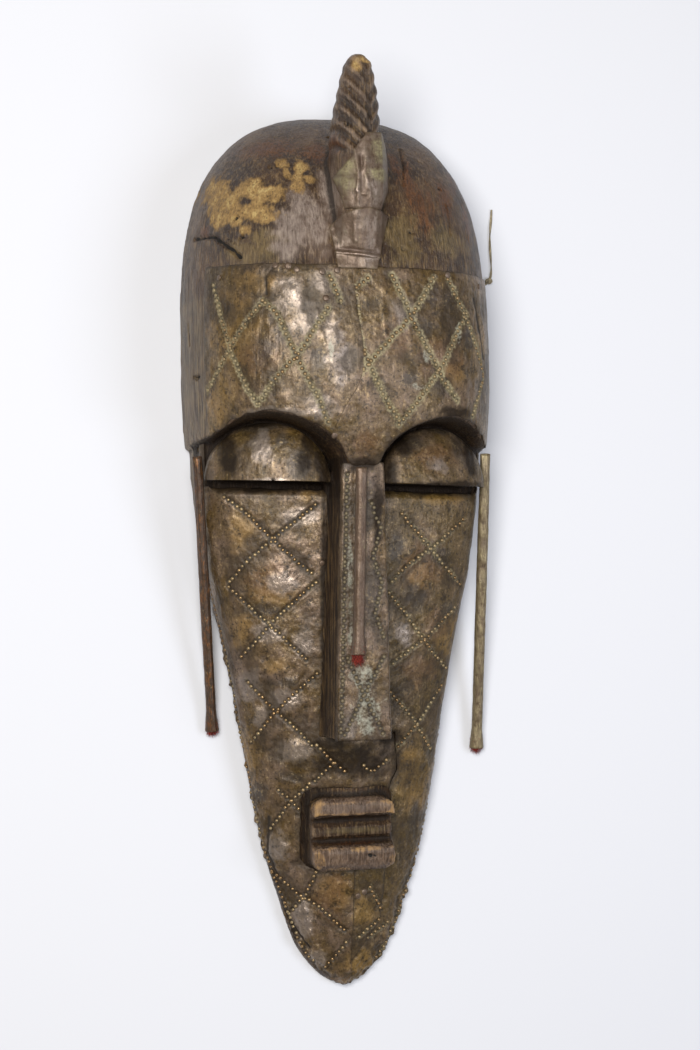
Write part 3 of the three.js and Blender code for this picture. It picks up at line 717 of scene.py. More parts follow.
# Ovals on the bare wood as [x, y, half width, half height], from above.
BARE_OVALS = {
    "crust": [(-80, 220, 9, 17), (-74, 208, 11, 13), (-64, 221, 13, 10), (-62, 206, 15, 10),
              (-52, 217, 9, 8), (-43, 239, 6, 5), (-41, 231, 3, 5), (-32, 235, 6, 7),
              (-35, 224, 5, 9), (-28, 226, 5, 4), (-70, 194, 5, 4), (-84, 205, 4, 10),
              (4, 297, 8, 4), (-2, 292, 6, 4)],
    # The sheen ovals mark a polished patch that is painted lighter as a sheen.
    "polish_and_painted_sheen": [(-42, 194, 13, 16), (-35, 208, 12, 14), (-27, 196, 9, 20), (-46, 180, 10, 9),
              (-18, 215, 6, 20)],
    "red": [(37, 222, 5, 26), (44, 206, 5, 22), (50, 212, 3, 16), (30, 236, 5, 12),
            (62, 214, 6, 20), (80, 205, 5, 20), (-48, 250, 22, 8), (-20, 246, 10, 10),
            (73, 228, 5, 12), (-90, 198, 3, 5), (0, -187, 26, 2.5), (0, -201, 26, 2.5)],
    "worn": [(-25, -178, 4, 8), (26, -178, 4, 7), (-23, -212, 5, 11), (26, -213, 4, 10),
             (4, -206, 14, 2), (-12, -219, 12, 2)],
    "olive": [(26, 186, 16, 22), (60, 186, 18, 12), (-60, 188, 14, 8), (0, -194, 26, 2.5),
              (-66, 180, 18, 10), (14, -130, 4, 60)],
}


# The wood's relief, as [height, size, seed] of each noise: adze marks and warp, then the grain, and
# the knife's cuts on the lips and along the edges by the mouth.
WOOD_WAVES = [
    (0.45, (16, 34, 16), 1), (0.3, 8, 2),
    (-0.3, (1.8, 26, 1.8), 3, "folded"), (-0.15, (1.2, 9, 1.2), 4, "folded"),
]
LIP_CUTS = (0.35, (2, 30, 9), 6, "folded")
EDGE_CUTS = (0.5, (6, 2.2, 6), 8, "folded")
# Where the wood is bare: the crown, the left side, the rim, under the brow, by the mouth and nose.
# Within that, a lid's sheet and the strip on the nose still cover some of it.
BARE = {"crown_y": 163, "left_x": -84, "left_z": 76, "rim_z": 12, "eye_y": 18, "past_brow": 4,
        "mouth_x": 36, "mouth_y": (-230, -158), "nose_x": 27, "nose_y": (-140, 50), "nose_z": 40}
UNDER_LID = {"half_width": 34, "height": 32, "share": 0.95, "foot_y": 36, "edge_y": 37}
UNDER_STRIP = {"in_from_edge": 3, "depth": 4, "y": (-127, 40)}


def marks_of(points, outward, proud_by):
    """How worn, dirty or crusted the bare wood is at each point. A cove is dark with soot and painted
    shade, as is the wood under the brow and beside the nose; an edge is rubbed.
    """
    x, y, z = points.T
    from_middle = np.abs(x)
    marks = {key: ovals(points, rows, 81 + 2 * k) for k, (key, rows) in enumerate(BARE_OVALS.items())}
    crack_away = np.full(len(points), 9.0)
    wander = 0.5 * noise(points, 3, 93)
    for width, _, route in CRACKS:
        crack_away = np.minimum(crack_away, distance_to(points, route) + wander + 0.8 - width)
    for hole_x, hole_y, radius in BEETLE_HOLES:
        at_hole = np.hypot(x - hole_x, y - hole_y) - radius + (z < OVER_RIM_Z) * 9
        crack_away = np.minimum(crack_away, at_hole + 0.5)
    marks["crack_away"] = np.clip(crack_away, -1, 9)
    by_eyes = above(brow_line(x, z) + 3 - y, 0, 4) * above(y, 20, 4) * (z > 20)
    by_mouth = below(from_middle, 35, 3) * above(y, -226, 4) * (y < -150)
    grooves = by_mouth * (from_middle < 29) * above(y, -205, 1.5) * below(y, -183.5, 1.5)
    in_cove = by_mouth * below(z, 45, 5)
    by_nose = below(from_middle, 26, 4) * within_range(y, (-133, 46)) * (z > OVER_RIM_Z)
    # Soot and painted shade: under the brow, in the grooves and coves by the mouth and beside the nose.
    marks["soot_and_painted_shade"] = np.maximum.reduce([by_eyes, 0.55 * grooves, 0.85 * in_cove, 0.8 * by_nose])
    marks["nose_wall"] = by_nose * (y < 20)
    marks["lips"] = by_mouth * above(z, 44, 3)
    marks["grooves"] = grooves
    marks["dry"] = below(x, -84, 8) * below(y, 168, 16)
    marks["recess"] = below(proud_by, 0, 0.8)
    marks["rub"] = above(proud_by, 0, 0.8)
    marks["inside"] = below(outward[:, 2], 0, 0.5) * (z < 100)
    return marks


def bare_wood(points, outward):
    x, y, z = points.T
    from_middle, level_y = np.abs(x), y + CARVERS_SLANT * x
    bare = (level_y > BARE["crown_y"]) | (z < BARE["rim_z"])
    bare |= (x < BARE["left_x"]) & (z < BARE["left_z"])
    bare |= (y > BARE["eye_y"]) & (y < brow_line(x, z) + BARE["past_brow"])
    bare |= (from_middle < BARE["mouth_x"]) & within_range(y, BARE["mouth_y"])
    bare |= (from_middle < BARE["nose_x"]) & within_range(y, BARE["nose_y"]) & (z > BARE["nose_z"])
    across = (from_middle - LID["middle_x"]) / UNDER_LID["half_width"]
    upwards = (level_y - UNDER_LID["foot_y"]) / UNDER_LID["height"]
    under_lid = (np.hypot(across, upwards) < UNDER_LID["share"]) & (level_y > UNDER_LID["edge_y"])
    under_lid &= outward[:, 2] > 0.3
    under_strip = from_middle < nose_half(y) - UNDER_STRIP["in_from_edge"]
    under_strip &= (z > nose_front(y) - UNDER_STRIP["depth"]) & within_range(y, UNDER_STRIP["y"])
    return bare & ~under_lid & ~under_strip


def within_range(value, limits):
    return (value > limits[0]) & (value < limits[1])


def out_of_sight(points, outward):
    """The ceiling of the hollow, the crest's underside and the rim, which lies on the table."""
    x, y, z = points.T
    hollow_at = np.clip(y, HOLLOW[0, 0], HOLLOW[-1, 0])
    of_hollow = np.hypot(x / between(HOLLOW, 1, hollow_at), z / between(HOLLOW, 2, hollow_at))
    inwards = x * outward[:, 0] + z * outward[:, 2] < 0
    ceiling = (of_hollow < 1.16) & inwards & (np.abs(y) < 264)
    return ceiling | ((outward[:, 2] < -0.35) & (y > 200)) | (outward[:, 2] < -0.95)


wood_points = points_of(wood_block.data)
wood_pairs = pairs_of(wood_block.data)
wood_quads = np.array([p.vertices[:] for p in wood_block.data.polygons], np.int32)
wood_out = normals_of(wood_points, wood_quads)
wood_soft = smoothed(wood_points, wood_pairs, 14)
proud = np.einsum("ij,ij->i", wood_points - wood_soft, wood_out)
wood_points = smoothed(wood_points, wood_pairs, 1)
wood_marks = marks_of(wood_points, wood_out, proud)
x, y, z = wood_points.T
on_lips = wood_marks["lips"]
relief = waves(wood_points, WOOD_WAVES)
relief += 0.35 * wood_marks["crust"] * (noise(wood_points, 4, 5) > -0.2)
relief -= on_lips * (waves(wood_points, [LIP_CUTS]) + 0.5 * (noise(wood_points, 6, 7) > 0.45))
chipped = np.clip(proud, 0, 1) * np.clip(noise(wood_points, 4.5, 9) + 0.25, 0, 1)
cut = np.maximum(on_lips, wood_marks["grooves"])
relief -= cut * (1.5 * chipped + waves(wood_points, [EDGE_CUTS]))
for width, depth, route in CRACKS:
    relief -= depth * np.clip(1.2 - distance_to(wood_points, route) / (width + 0.5), 0, 1)
for hole_x, hole_y, radius in BEETLE_HOLES:
    in_hole = (np.hypot(x - hole_x, y - hole_y) < radius + 0.4) & (z > OVER_RIM_Z)
    relief -= HOLE_DEPTH * in_hole
# Under the sheets the wood is sunk, so that it never comes through them.
bare = bare_wood(wood_points, wood_out)
relief -= SUNK_UNDER_SHEETS * ~bare * (wood_out[:, 2] > -0.2)
thin_out = ~bare | out_of_sight(wood_points, wood_out)
wood_points = wood_points + wood_out * relief[:, None]
wood_points[wood_points[:, 2] < 0.4, 2] = 0

# Old hardwood, worked with a blade, smoked and handled: dark brown with the grain along the mask, a
# polished patch where hands rub it, painted lighter there as a sheen, an ochre crust of old offerings,
# tan wood where edges are worn, soot and painted shade under the brow, beside the nose and by the
# mouth, and concave places darker.
hardwood = worn_finish(
    "aged_hardwood",
    {"cloud": (30, 4, 0.6, 1, 1.6, 1), "blot": (6, 6, 0.68, 1, 1.3, 1), "fleck": (1.5, 5, 0.7),
     "grain": (1.2, 5, 0.65, 1, 30, 1.6), "fibre": (0.6, 4, 0.6, 1, 16, 1.6)},
    [
        [None, 0, 0, 0, "#2c1d11", 0, 0.42],
        [{"cloud": 1, "blot": 0.5}, 0.65, 0.95, 0.8, "#533b23", 0, 0.4],
        [{"grain": 1, "blot": 0.5}, 0.74, 0.95, 0.65, "#806a49", 0, 0.42],
        [{"olive": 0.6, "blot": 1, "grain": 0.8}, 1.1, 1.8, 0.7, "#71613c", 0, 0.5],
        [{"red": 0.6, "grain": 2.2, "blot": 0.5}, 1.66, 2.25, 0.75, "#603411", 0, 0.42],
        # A painted sheen: the polished patch is painted a lighter grey-violet, with lighter streaks
        # along the grain.
        [{"polish_and_painted_sheen": 1, "cloud": 0.6}, 0.4, 1.4, 0.7, "#7d6d63", 0, 0.28],
        [{"polish_and_painted_sheen": 0.6, "grain": 1.6, "blot": 1.2}, 1.7, 2.7, 0.8, "#a99e96", 0, 0.24],
        [{"dry": 0.8, "grain": 2, "cloud": 0.4}, 1.8, 2.6, 0.85, "#8a7d64", 0, 0.6],
        [{"fibre": -1, "grain": -0.8}, -0.78, -0.62, 0.75, "#1a1109", 0, 0.6],
        [{"crust": 0.8, "blot": 0.9, "cloud": 0.4}, 1.0, 1.45, 0.85, "#6c5228", 0, 0.6],
        [{"crust": 0.7, "blot": 1.4, "fleck": 0.5}, 1.36, 1.66, 0.9, "#96794a", 0, 0.75],
        [{"crust": 0.6, "blot": 1.6, "fleck": 0.7}, 1.78, 2.06, 0.8, "#bba46d", 0, 0.8],
        [{"crust": 0.5, "fibre": -1.2, "fleck": -0.8}, -0.44, -0.3, 0.7, "#3d2a15", 0, 0.7],
        [{"lips": 0.9, "grain": 2, "blot": 0.5}, 1.75, 2.6, 0.85, "#7b685b", 0, 0.42],
        [{"rub": 0.8, "blot": 1, "grain": 0.8}, 1.3, 1.95, 0.6, "#887462", 0, 0.34],
        [{"lips": 0.5, "rub": 0.8, "grain": 1.2, "blot": 2, "fleck": 1},
         3.15, 3.8, 0.8, "#9e7b4b", 0, 0.6],
        [{"worn": 0.8, "grain": 1.4, "blot": 1}, 1.8, 2.35, 0.8, "#a07e4d", 0, 0.6],
        [{"recess": 1, "blot": 0.8}, 0.7, 1.2, 0.9, "#1b1108", 0, 0.7],
        # Soot and painted shade: near black where the soot mark is.
        [{"soot_and_painted_shade": 1, "blot": 0.9, "grain": -1.2}, 0.2, 0.85, 0.93, "#160d06", 0, 0.6],
        [{"nose_wall": 0.8, "grain": 2.4, "blot": 0.8}, 2.36, 2.84, 0.65, "#654f31", 0, 0.5],
        [{"inside": 1, "grain": 0.5}, 0.9, 1.2, 0.8, "#5a442d", 0, 0.8],
        [{"crack_away": -1, "fleck": 0.8}, -0.45, -0.1, 1, "#0b0704", 0, 0.8],
    ],
    {"grain": 1.5, "fibre": 0.6, "fleck": 0.25, "blot": 0.4},
)
bpy.data.objects.remove(wood_block)
mask_wood = mesh_object("mask_wood", wood_points, wood_quads, hardwood, wood_marks)
thinned(mask_wood, thin_out, 0.46)
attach(mask_wood, "root")
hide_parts("mask_body")

# The forehead sheets: two sheets of thin brass, beaten over the dome and held by rows of tacks in
# a net. The right one laps over the left along a bent line. Each is pressed down along its tacks,
# so the dust has gathered there, and the diamonds between stand proud and are rubbed.
LIFT, THICKNESS, STEP = 1.3, 0.7, 0.84
FOREHEAD_SHEET = {"top_y": 169, "left_foot_z": 66, "right_foot_z": 44, "lap": 2.4}
FOREHEAD_SEAM = np.array([[-26, 40], [-20, 68], [-2.5, 103], [-7, 163], [-7, 200]], float)
FOREHEAD_ROWS = [
    [(-89, 161), (-85, 135), (-80, 114), (-73, 94), (-67, 84)],
    [(-63, 148), (-75, 132), (-85, 113), (-93, 95)],
    [(-66, 84), (-56, 100), (-41, 115), (-32, 130), (-23, 142), (-13, 149), (3, 161)],
    [(-61, 147), (-54, 139), (-44, 113), (-37, 99), (-30, 86), (-24, 71)],
    [(-21, 163), (-15, 147), (-6, 125), (4, 103), (13, 84), (22, 71)],
    [(-6, 99), (-15, 88), (-23, 66)],
    [(19, 163), (30, 138), (41, 116), (53, 95), (62, 84)],
    [(47, 162), (31, 137), (15, 121), (-6, 99)],
    [(22, 69), (37, 87), (52, 107), (71, 140)],
    [(57, 161), (66, 146), (76, 126), (86, 102)],
    [(86, 100), (75, 75)],
]
SEAM_ROW = [(-6, 150), (-4, 125), (-3, 103)]
FOREHEAD_SIDE_ROW = [(66, 48), (100, 50), (150, 50)]
TACK = {"spacing": 3.4, "wander": 0.45, "smallest": 0.98, "largest": 1.3, "lean": 0.25}
# A sheet's relief, as [height, size, seed] of each noise: beaten waves, then folds.
SHEET_WAVES = [
    (0.42, 19, 21), (0.25, 8, 22), (0.1, 2.6, 24),
    (-0.16, (3.2, 13, 4.5), 23, "folded"), (-0.3, 5.5, 28, "folded"),
]
# How a tack presses the sheet, as [height, distance from it, width]: down, and up in a ring.
TACK_PRESS = [(-0.5, 0, 4.5), (-0.35, 0, 1.7), (0.2, 2.7, 0.8)]
EDGE_PRESS = {"depth": 0.45, "width": 1.3}
LOWEST_RELIEF, HIGHEST_RELIEF = -1.15, 2.2
# A tack stands at least this far in from the edge, and is left out if that moves it too far.
TACK_TO_EDGE, TACK_MOVED = 1.0, 2.2
# How ragged each cut edge is, as [height, size, seed] of a noise.
RAGGED = {
    "seam": (0.5, 11, 41), "forehead_top": (0.5, 9, 42), "forehead_foot": (0.8, 10, 43),
    "brow": (1, 5, 44), "cheek_foot": (1.1, 6, 51), "beside_nose": (0.4, 8, 52),
    "by_mouth": (0.7, 5, 53), "under_eye": (0.5, 9, 54), "upper_lip": (0.9, 4, 57),
    "chin": (0.4, 7, 58), "nose_strip": (1.2, 8, 61), "plate": (0.25, 5, 63),
}
# Creases and dents as [height, width, route]; a height below zero is a groove.
FOREHEAD_CREASES = [
    [0.5, 1.4, [(13, 161), (12, 140), (14, 124)]],
    [-0.7, 0.9, [(-54, 171), (-60, 163), (-60, 152)]],
    [0.4, 1.6, [(-31, 146), (-28, 128), (-26, 120)]],
    [0.35, 1.5, [(-20, 140), (-19, 122)]],
    [-0.4, 1.2, [(78, 150), (82, 130), (86, 112)]],
    [1.0, 6, [(-46, 156), (-42, 152)]],
    [-1.0, 5, [(-36, 150), (-34, 144)]],
    [0.9, 6, [(-20, 124), (-18, 118)]],
    [-0.9, 5, [(-10, 112), (-12, 106)]],
    [0.8, 5, [(-22, 104), (-20, 98)]],
    [0.8, 6, [(44, 118), (50, 110)]],
    [-0.8, 5, [(58, 132), (60, 124)]],
]
# Ovals on the sheets as [x, y, half width, half height], from above.
SHEET_OVALS = {
    # Rubbed metal, polished and painted lighter as a highlight, on the forehead, the lids and the
    # cheeks.
    "rubbed_and_painted_highlight": [(-45, 152, 12, 16), (-37, 137, 11, 15), (-28, 158, 9, 7), (-20, 126, 8, 14),
               (-16, 108, 12, 15), (-56, 78, 22, 4), (-30, 80, 10, 8), (-60, 57, 8, 12),
               (-56, 36, 14, 2), (-43, -107, 13, 9), (-58, -117, 6, 9), (-37, -141, 13, 11),
               (-46, -205, 9, 14), (-30, -256, 8, 19), (-36, 13, 15, 8), (-32, -70, 9, 12),
               (-10, -120, 5, 14), (54, 44, 8, 7), (36, -66, 8, 10), (-64, -98, 8, 14),
               (-52, -62, 12, 8), (26, 140, 9, 12), (-20, -285, 8, 9), (-46, -30, 12, 10)],
    # Dark stains, and on the lids painted shade that keeps them dark round their painted highlights.
    "stain_and_painted_shade": [(60, 150, 12, 13), (46, 152, 7, 10), (50, 92, 12, 7), (-62, 118, 8, 12),
                (-39, 45, 11, 13), (76, 56, 12, 12), (38, 58, 10, 8), (-60, 71, 22, 4),
                (0, 16, 14, 28), (60, 68, 20, 5), (-48, 62, 5, 6), (6, -40, 6, 30), (-10, 44, 8, 8),
                (-52, 128, 7, 9), (28, 98, 9, 6), (-57, -47, 12, 6), (-44, -95, 12, 5),
                (44, -42, 9, 12), (68, -52, 8, 8), (60, -15, 10, 9), (-40, -158, 12, 5),
                (30, -10, 6, 12), (72, 124, 6, 12), (40, 128, 6, 8), (-30, 110, 7, 9),
                (-58, -170, 6, 10), (46, -190, 6, 14)],
    "ochre": [(-78, 130, 14, 34), (-88, 90, 8, 26), (-70, 5, 10, 15), (-50, -38, 15, 11),
              (-70, -60, 8, 12), (-50, -84, 10, 6), (-64, -150, 6, 28), (60, 100, 14, 8),
              (70, -70, 9, 22), (44, -160, 14, 26), (-8, -236, 12, 12), (8, -285, 14, 10),
              (12, -250, 9, 12), (82, 120, 8, 30), (45, -28, 10, 12), (25, 150, 9, 9),
              (-66, 160, 14, 8), (-62, -195, 5, 20), (-28, 26, 6, 4), (60, 22, 22, 4),
              (-29, 60, 4, 10), (-38, 68, 8, 3)],
    "copper": [(52, 110, 17, 15), (48, -22, 16, 20), (48, -90, 16, 14), (-52, -30, 16, 14),
               (0, 55, 10, 12), (-12, -240, 12, 20), (60, -60, 10, 12), (20, 125, 10, 16),
               (54, 50, 18, 10), (-66, 112, 12, 14)],
    "verdigris": [(-9, -18, 2.5, 28), (-9, -62, 3, 14), (2, -112, 11, 17), (-1, -90, 9, 8),
                  (40, 112, 3, 10), (-12, 226, 7, 14), (12, 240, 7, 11), (10, 225, 8, 5),
                  (64, 128, 3, 10), (34, 92, 8, 3), (-22, 118, 2, 10)],
    # Soot and painted shade: dark ovals in the eye slits, round the lids, beside and under the nose and
    # low on the chin.
    "soot_and_painted_shade": [(9, 14, 4, 30), (-2, -149, 33, 15), (-13, -136, 14, 7), (25, -134, 12, 5),
             (-19, -30, 2.5, 90), (20, -40, 2.5, 90), (-60, 31, 34, 3), (60, 31, 34, 3),
             (-25, 48, 4, 14), (-80, 52, 6, 14), (-36, 47, 6, 12), (-60, 72, 18, 2.5),
             (80, 50, 6, 14), (-22, 40, 5, 16), (22, 40, 5, 16), (-31, 60, 6, 14), (31, 58, 6, 12),
             (-80, 58, 6, 10), (-48, -244, 5, 20), (-36, -266, 4, 14), (60, 76, 14, 4),
             (0, 44, 10, 5)],
}


def gridded(rings):
    """Points and triangles of an open surface through rows of points."""
    rings = np.asarray(rings)
    rows, columns = rings.shape[:2]
    i, j = np.meshgrid(np.arange(rows - 1), np.arange(columns - 1), indexing="ij")
    a = (i * columns + j).ravel()
    b, c, d = a + 1, a + columns + 1, a + columns
    triangles = np.vstack([np.stack([a, b, c], axis=1), np.stack([a, c, d], axis=1)])
    return rings.reshape(-1, 3), triangles


def trimmed(table, triangles, field):
    """What lies where the field is above zero, with the triangles on its edge cut there."""
    within = field > 0
    count = within[triangles].sum(axis=1)
    kept, cut_pairs, parts = [triangles[count == 3]], [], []
    for wanted in (1, 2):
        some = triangles[count == wanted]
        odd = np.argmax(within[some] == (wanted == 1), axis=1)
        some = np.stack([some[np.arange(len(some)), (odd + k) % 3] for k in range(3)], axis=1)
        cut_pairs += [some[:, [0, 1]], some[:, [0, 2]]]
        parts.append(some)
    pairs = np.sort(np.vstack(cut_pairs), axis=1)
    edges, place = np.unique(pairs, axis=0, return_inverse=True)
    place = place.ravel() + len(table)
    share = field[edges[:, 0]] / (field[edges[:, 0]] - field[edges[:, 1]])
    share = np.clip(share, 0.1, 0.9)[:, None]
    table = np.vstack([table, table[edges[:, 0]] * (1 - share) + table[edges[:, 1]] * share])
    one, two = len(parts[0]), len(parts[1])
    ab1, ac1, ab2, ac2 = np.split(place, np.cumsum([one, one, two]))
    kept.append(np.stack([parts[0][:, 0], ab1, ac1], axis=1))
    kept.append(np.stack([ab2, parts[1][:, 1], parts[1][:, 2]], axis=1))
    kept.append(np.stack([ab2, parts[1][:, 2], ac2], axis=1))
    triangles = np.vstack(kept)
    used, index = np.unique(triangles, return_inverse=True)
    return table[used], index.reshape(-1, 3)


def thickened(points, triangles, outward, thickness):
    """A closed sheet: the surface, the same behind it, and a rim along every open edge."""
    count = len(points)
    sides = np.vstack([triangles[:, [0, 1]], triangles[:, [1, 2]], triangles[:, [2, 0]]])
    keys = np.sort(sides, axis=1)
    _, first, seen = np.unique(keys, axis=0, return_index=True, return_counts=True)
    rim = sides[first[seen == 1]]
    walls = np.vstack([
        np.stack([rim[:, 1], rim[:, 0], rim[:, 0] + count], axis=1),
        np.stack([rim[:, 1], rim[:, 0] + count, rim[:, 1] + count], axis=1),
    ])
    return (np.vstack([points, points - outward * thickness]),
            np.vstack([triangles, triangles[:, ::-1] + count, walls]))


def inside(outline, x, y):
    """How far each place lies inside an outline, or below zero how far outside."""
    outline = np.asarray(outline, float)
    place = np.column_stack([x, y])
    nearest, within = np.full(len(place), np.inf), np.zeros(len(place), bool)
    for a, b in zip(outline, np.roll(outline, -1, axis=0)):
        t = np.clip((place - a) @ (b - a) / ((b - a) @ (b - a)), 0, 1)
        nearest = np.minimum(nearest, np.linalg.norm(place - a - t[:, None] * (b - a), axis=1))
        crosses = (a[1] > y) != (b[1] > y)
        slope = (b[0] - a[0]) / np.where(b[1] == a[1], 1e-9, b[1] - a[1])
        within ^= crosses & (x < a[0] + (y - a[1]) * slope)
    return np.where(within, nearest, -nearest)


def spaced(route, spacing):
    """Places at even steps along a line of straight pieces."""
    route = np.asarray(route, float)
    return evenly(route, max(2, int(round(reach_along(route)[-1] / spacing)) + 1))


def nearest_of(points, places):
    """For each point, how far the nearest place is, and which."""
    tree = KDTree(len(places))
    for i, p in enumerate(places):
        tree.insert(p, i)
    tree.balance()
    found = [tree.find(p)[1:] for p in points]
    index, away = zip(*found)
    return np.array(away), np.array(index)


def ragged(points, edge):
    """How far a cut edge wanders from its line at each point."""
    return waves(points, [RAGGED[edge]])


tack_places, tack_directions = [], []


def clad(node, finish, slot, rings, field, rows=(), side_rows=(), creases=(), extra=None,
         rough=1.0, film=(0, 0)):
    """A sheet beaten over the carving: cut to its outline, pressed down at its tacks, dented.

    The field is above zero where there is sheet. The side rows hold tacks struck in from one side,
    extra adds to the relief, and film is how olive and how dusty the sheet is, from 0 to 1.
    """
    points, triangles = gridded(rings)
    outward = normals_of(points, triangles)
    if outward[len(points) // 2, 2] < 0:
        triangles, outward = triangles[:, ::-1], -outward
    surface = BVHTree.FromPolygons(points.tolist(), triangles.tolist())
    starts = [((x, y, 200), (0, 0, -1)) for row in rows for x, y in spaced(row, TACK["spacing"])]
    for side, row in side_rows:
        starts += [((side * 200, y, z), (-side, 0, 0)) for y, z in spaced(row, TACK["spacing"])]
    places = [surface.ray_cast(Vector(start), Vector(heading))[0] for start, heading in starts]
    places = np.array([p for p in places if p is not None]).reshape(-1, 3)
    if len(places):
        places += TACK["wander"] * np.stack([noise(places * 40, 1, 27 + k) for k in range(3)], axis=1)
    table, triangles = trimmed(np.hstack([points, outward]), triangles, field(points))
    points, outward = table[:, :3], table[:, 3:]
    outward = outward / np.linalg.norm(outward, axis=1, keepdims=True)
    edge = field(points)
    relief = rough * waves(points, SHEET_WAVES)
    near = np.full(len(points), 99.0)
    if len(places):
        near, _ = nearest_of(points, places)
    for height, distance, width in TACK_PRESS:
        relief += height * np.exp(-((near - distance) / width) ** 2)
    crease_away = np.full(len(points), 9.0)
    wander = 0.4 * noise(points, 3, 25)
    for height, width, route in creases:
        away = distance_to(points[:, :2], route) + wander
        relief += height * np.exp(-(away / width) ** 2)
        if height < 0 and width < 2:
            crease_away = np.minimum(crease_away, away)
    relief -= EDGE_PRESS["depth"] * np.exp(-np.maximum(edge, 0) / EDGE_PRESS["width"])
    if extra is not None:
        relief += extra(points)
    relief = np.clip(relief, LOWEST_RELIEF, HIGHEST_RELIEF)
    points = points + outward * relief[:, None]
    if len(places):
        within = edge > TACK_TO_EDGE
        away, index = nearest_of(places, points[within])
        index = index[away < TACK_MOVED]
        tack_places.append(points[within][index])
        tack_directions.append(outward[within][index])
    marks = {key: ovals(points, rows, 31 + 2 * k) for k, (key, rows) in enumerate(SHEET_OVALS.items())}
    marks["olive"] = np.full(len(points), film[0])
    marks["dusty"] = np.full(len(points), film[1])
    marks["tack_away"] = np.minimum(near, 9)
    marks["edge_away"] = np.clip(edge, 0, 9)
    marks["crease_away"] = np.clip(crease_away, 0, 9)
    # 0 in a dent, 0.5 on the even sheet and 1 on a bulge.
    marks["height"] = np.clip(0.5 + relief / 1.6, 0, 1)
    whole, triangles = thickened(points, triangles, normals_of(points, triangles), THICKNESS)
    whole[:, 2] = np.maximum(whole[:, 2], 0.1)
    marks = {key: np.tile(values, 2) for key, values in marks.items()}
    name = node.rsplit("_", 1)[0] + "_" + slot.split("_")[0]
    piece = mesh_object(name, whole, triangles, finish, marks)
    thinned(piece, np.arange(len(whole)) >= len(points), 0.6)
    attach(piece, "root")
    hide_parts(node)


# Patinated brass sheet, beaten by hand: a brown and violet skin over the metal that still shines
# softly, silvery where it is rubbed and painted lighter there as a highlight, with stains and painted
# shade in places, and olive dirt and pale dust packed round the tacks.
brass = worn_finish(
    "patinated_brass_sheet",
    {"cloud": (22, 5, 0.6, 1, 1.2, 1), "blot": (6.5, 6, 0.68, 1, 1.2, 1), "fleck": (1.7, 5, 0.7),
     "streak": (0.9, 4, 0.6, 1, 24, 1), "dent": (8, 2, 0.5, 1, 1.4, 1)},
    [
        [None, 0, 0, 0, "#574426", 0.35, 0.38],
        [{"cloud": 1, "blot": 0.5}, 0.62, 0.9, 0.8, "#78675c", 0.45, 0.32],
        [{"olive": 0.5, "cloud": -0.6, "blot": -0.5}, -0.55, -0.05, 0.85, "#4f4020", 0.2, 0.42],
        [{"ochre": 0.45, "cloud": 0.8, "blot": 1}, 1.0, 1.6, 0.8, "#83662f", 0.2, 0.45],
        [{"copper": 0.5, "cloud": -0.6, "blot": 0.9}, 0.3, 0.85, 0.65, "#6a4d35", 0.3, 0.4],
        # Stains, and painted shade on the lids: a near black grey.
        [{"stain_and_painted_shade": 0.65, "blot": 1.3, "fleck": 0.5}, 1.15, 1.75, 0.85, "#2b2a2b", 0.3, 0.4],
        [{"blot": -1, "fleck": -0.6}, -0.77, -0.6, 0.85, "#20160a", 0.2, 0.45],
        [{"blot": 1, "fleck": 0.6}, 0.87, 1.05, 0.65, "#a28c66", 0.4, 0.36],
        [{"streak": 1}, 0.63, 0.73, 0.55, "#a8916a", 0.4, 0.4],
        [{"streak": -1}, -0.4, -0.3, 0.7, "#20160b", 0.1, 0.6],
        # Rubbed metal with a painted highlight: silvery, shiny and lighter.
        [{"rubbed_and_painted_highlight": 0.7, "cloud": 0.5, "blot": 0.9}, 0.95, 1.75, 0.8, "#a69c96", 0.85, 0.26],
        [{"fleck": 1}, 0.61, 0.71, 0.55, "#b7a27a", 0.35, 0.4],
        [{"fleck": -1}, -0.44, -0.34, 0.85, "#1c1308", 0.1, 0.6],
        [{"height": -1, "blot": 0.5}, -0.17, 0.1, 0.7, "#261c0e", 0.2, 0.55],
        [{"dusty": 2.6, "tack_away": -1, "blot": 5, "cloud": 3, "fleck": 5},
         5.7, 8.2, 0.75, "#7f7659", 0, 0.7],
        [{"dusty": 2, "tack_away": -1, "blot": 3, "fleck": 9}, 5.6, 8.0, 0.7, "#a29a7a", 0, 0.8],
        [{"verdigris": 0.6, "fleck": 1.4, "blot": 1.4}, 1.8, 2.4, 0.8, "#a3a79b", 0, 0.8],
        # Soot and painted shade: near black where the soot ovals lie.
        [{"soot_and_painted_shade": 0.8, "blot": 1}, 0.65, 1.3, 0.92, "#1a120a", 0.1, 0.6],
        [{"edge_away": -1, "blot": 1.4}, 0.0, 0.6, 0.65, "#2a1f12", 0.1, 0.7],
        [{"crease_away": -1, "fleck": 1}, -0.35, 0.05, 0.9, "#1c140a", 0.1, 0.7],
        [{"tack_away": -1, "fleck": 1, "dusty": -0.3}, -1.5, -0.9, 0.85, "#1e160c", 0.1, 0.6],
    ],
    {"dent": 1.5, "blot": 0.5, "fleck": 0.16, "streak": 0.14},
)


def seam_at(y):
    return between(FOREHEAD_SEAM[:, [1, 0]], 1, y)


def forehead_field(points, side):
    x, y, z = points.T
    foot = FOREHEAD_SHEET["left_foot_z" if side < 0 else "right_foot_z"]
    seam = seam_at(y) + ragged(points, "seam")
    below_top = FOREHEAD_SHEET["top_y"] - y - CARVERS_SLANT * x + ragged(points, "forehead_top")
    above_foot = z - foot + ragged(points, "forehead_foot")
    torn = 0.5 + 1.6 * above(np.abs(x), 66, 8)
    above_brow = y - brow_line(x, z) + torn * ragged(points, "brow")
    by_seam = seam + FOREHEAD_SHEET["lap"] - x if side < 0 else x - seam
    return np.minimum.reduce([below_top, above_foot, above_brow, by_seam])


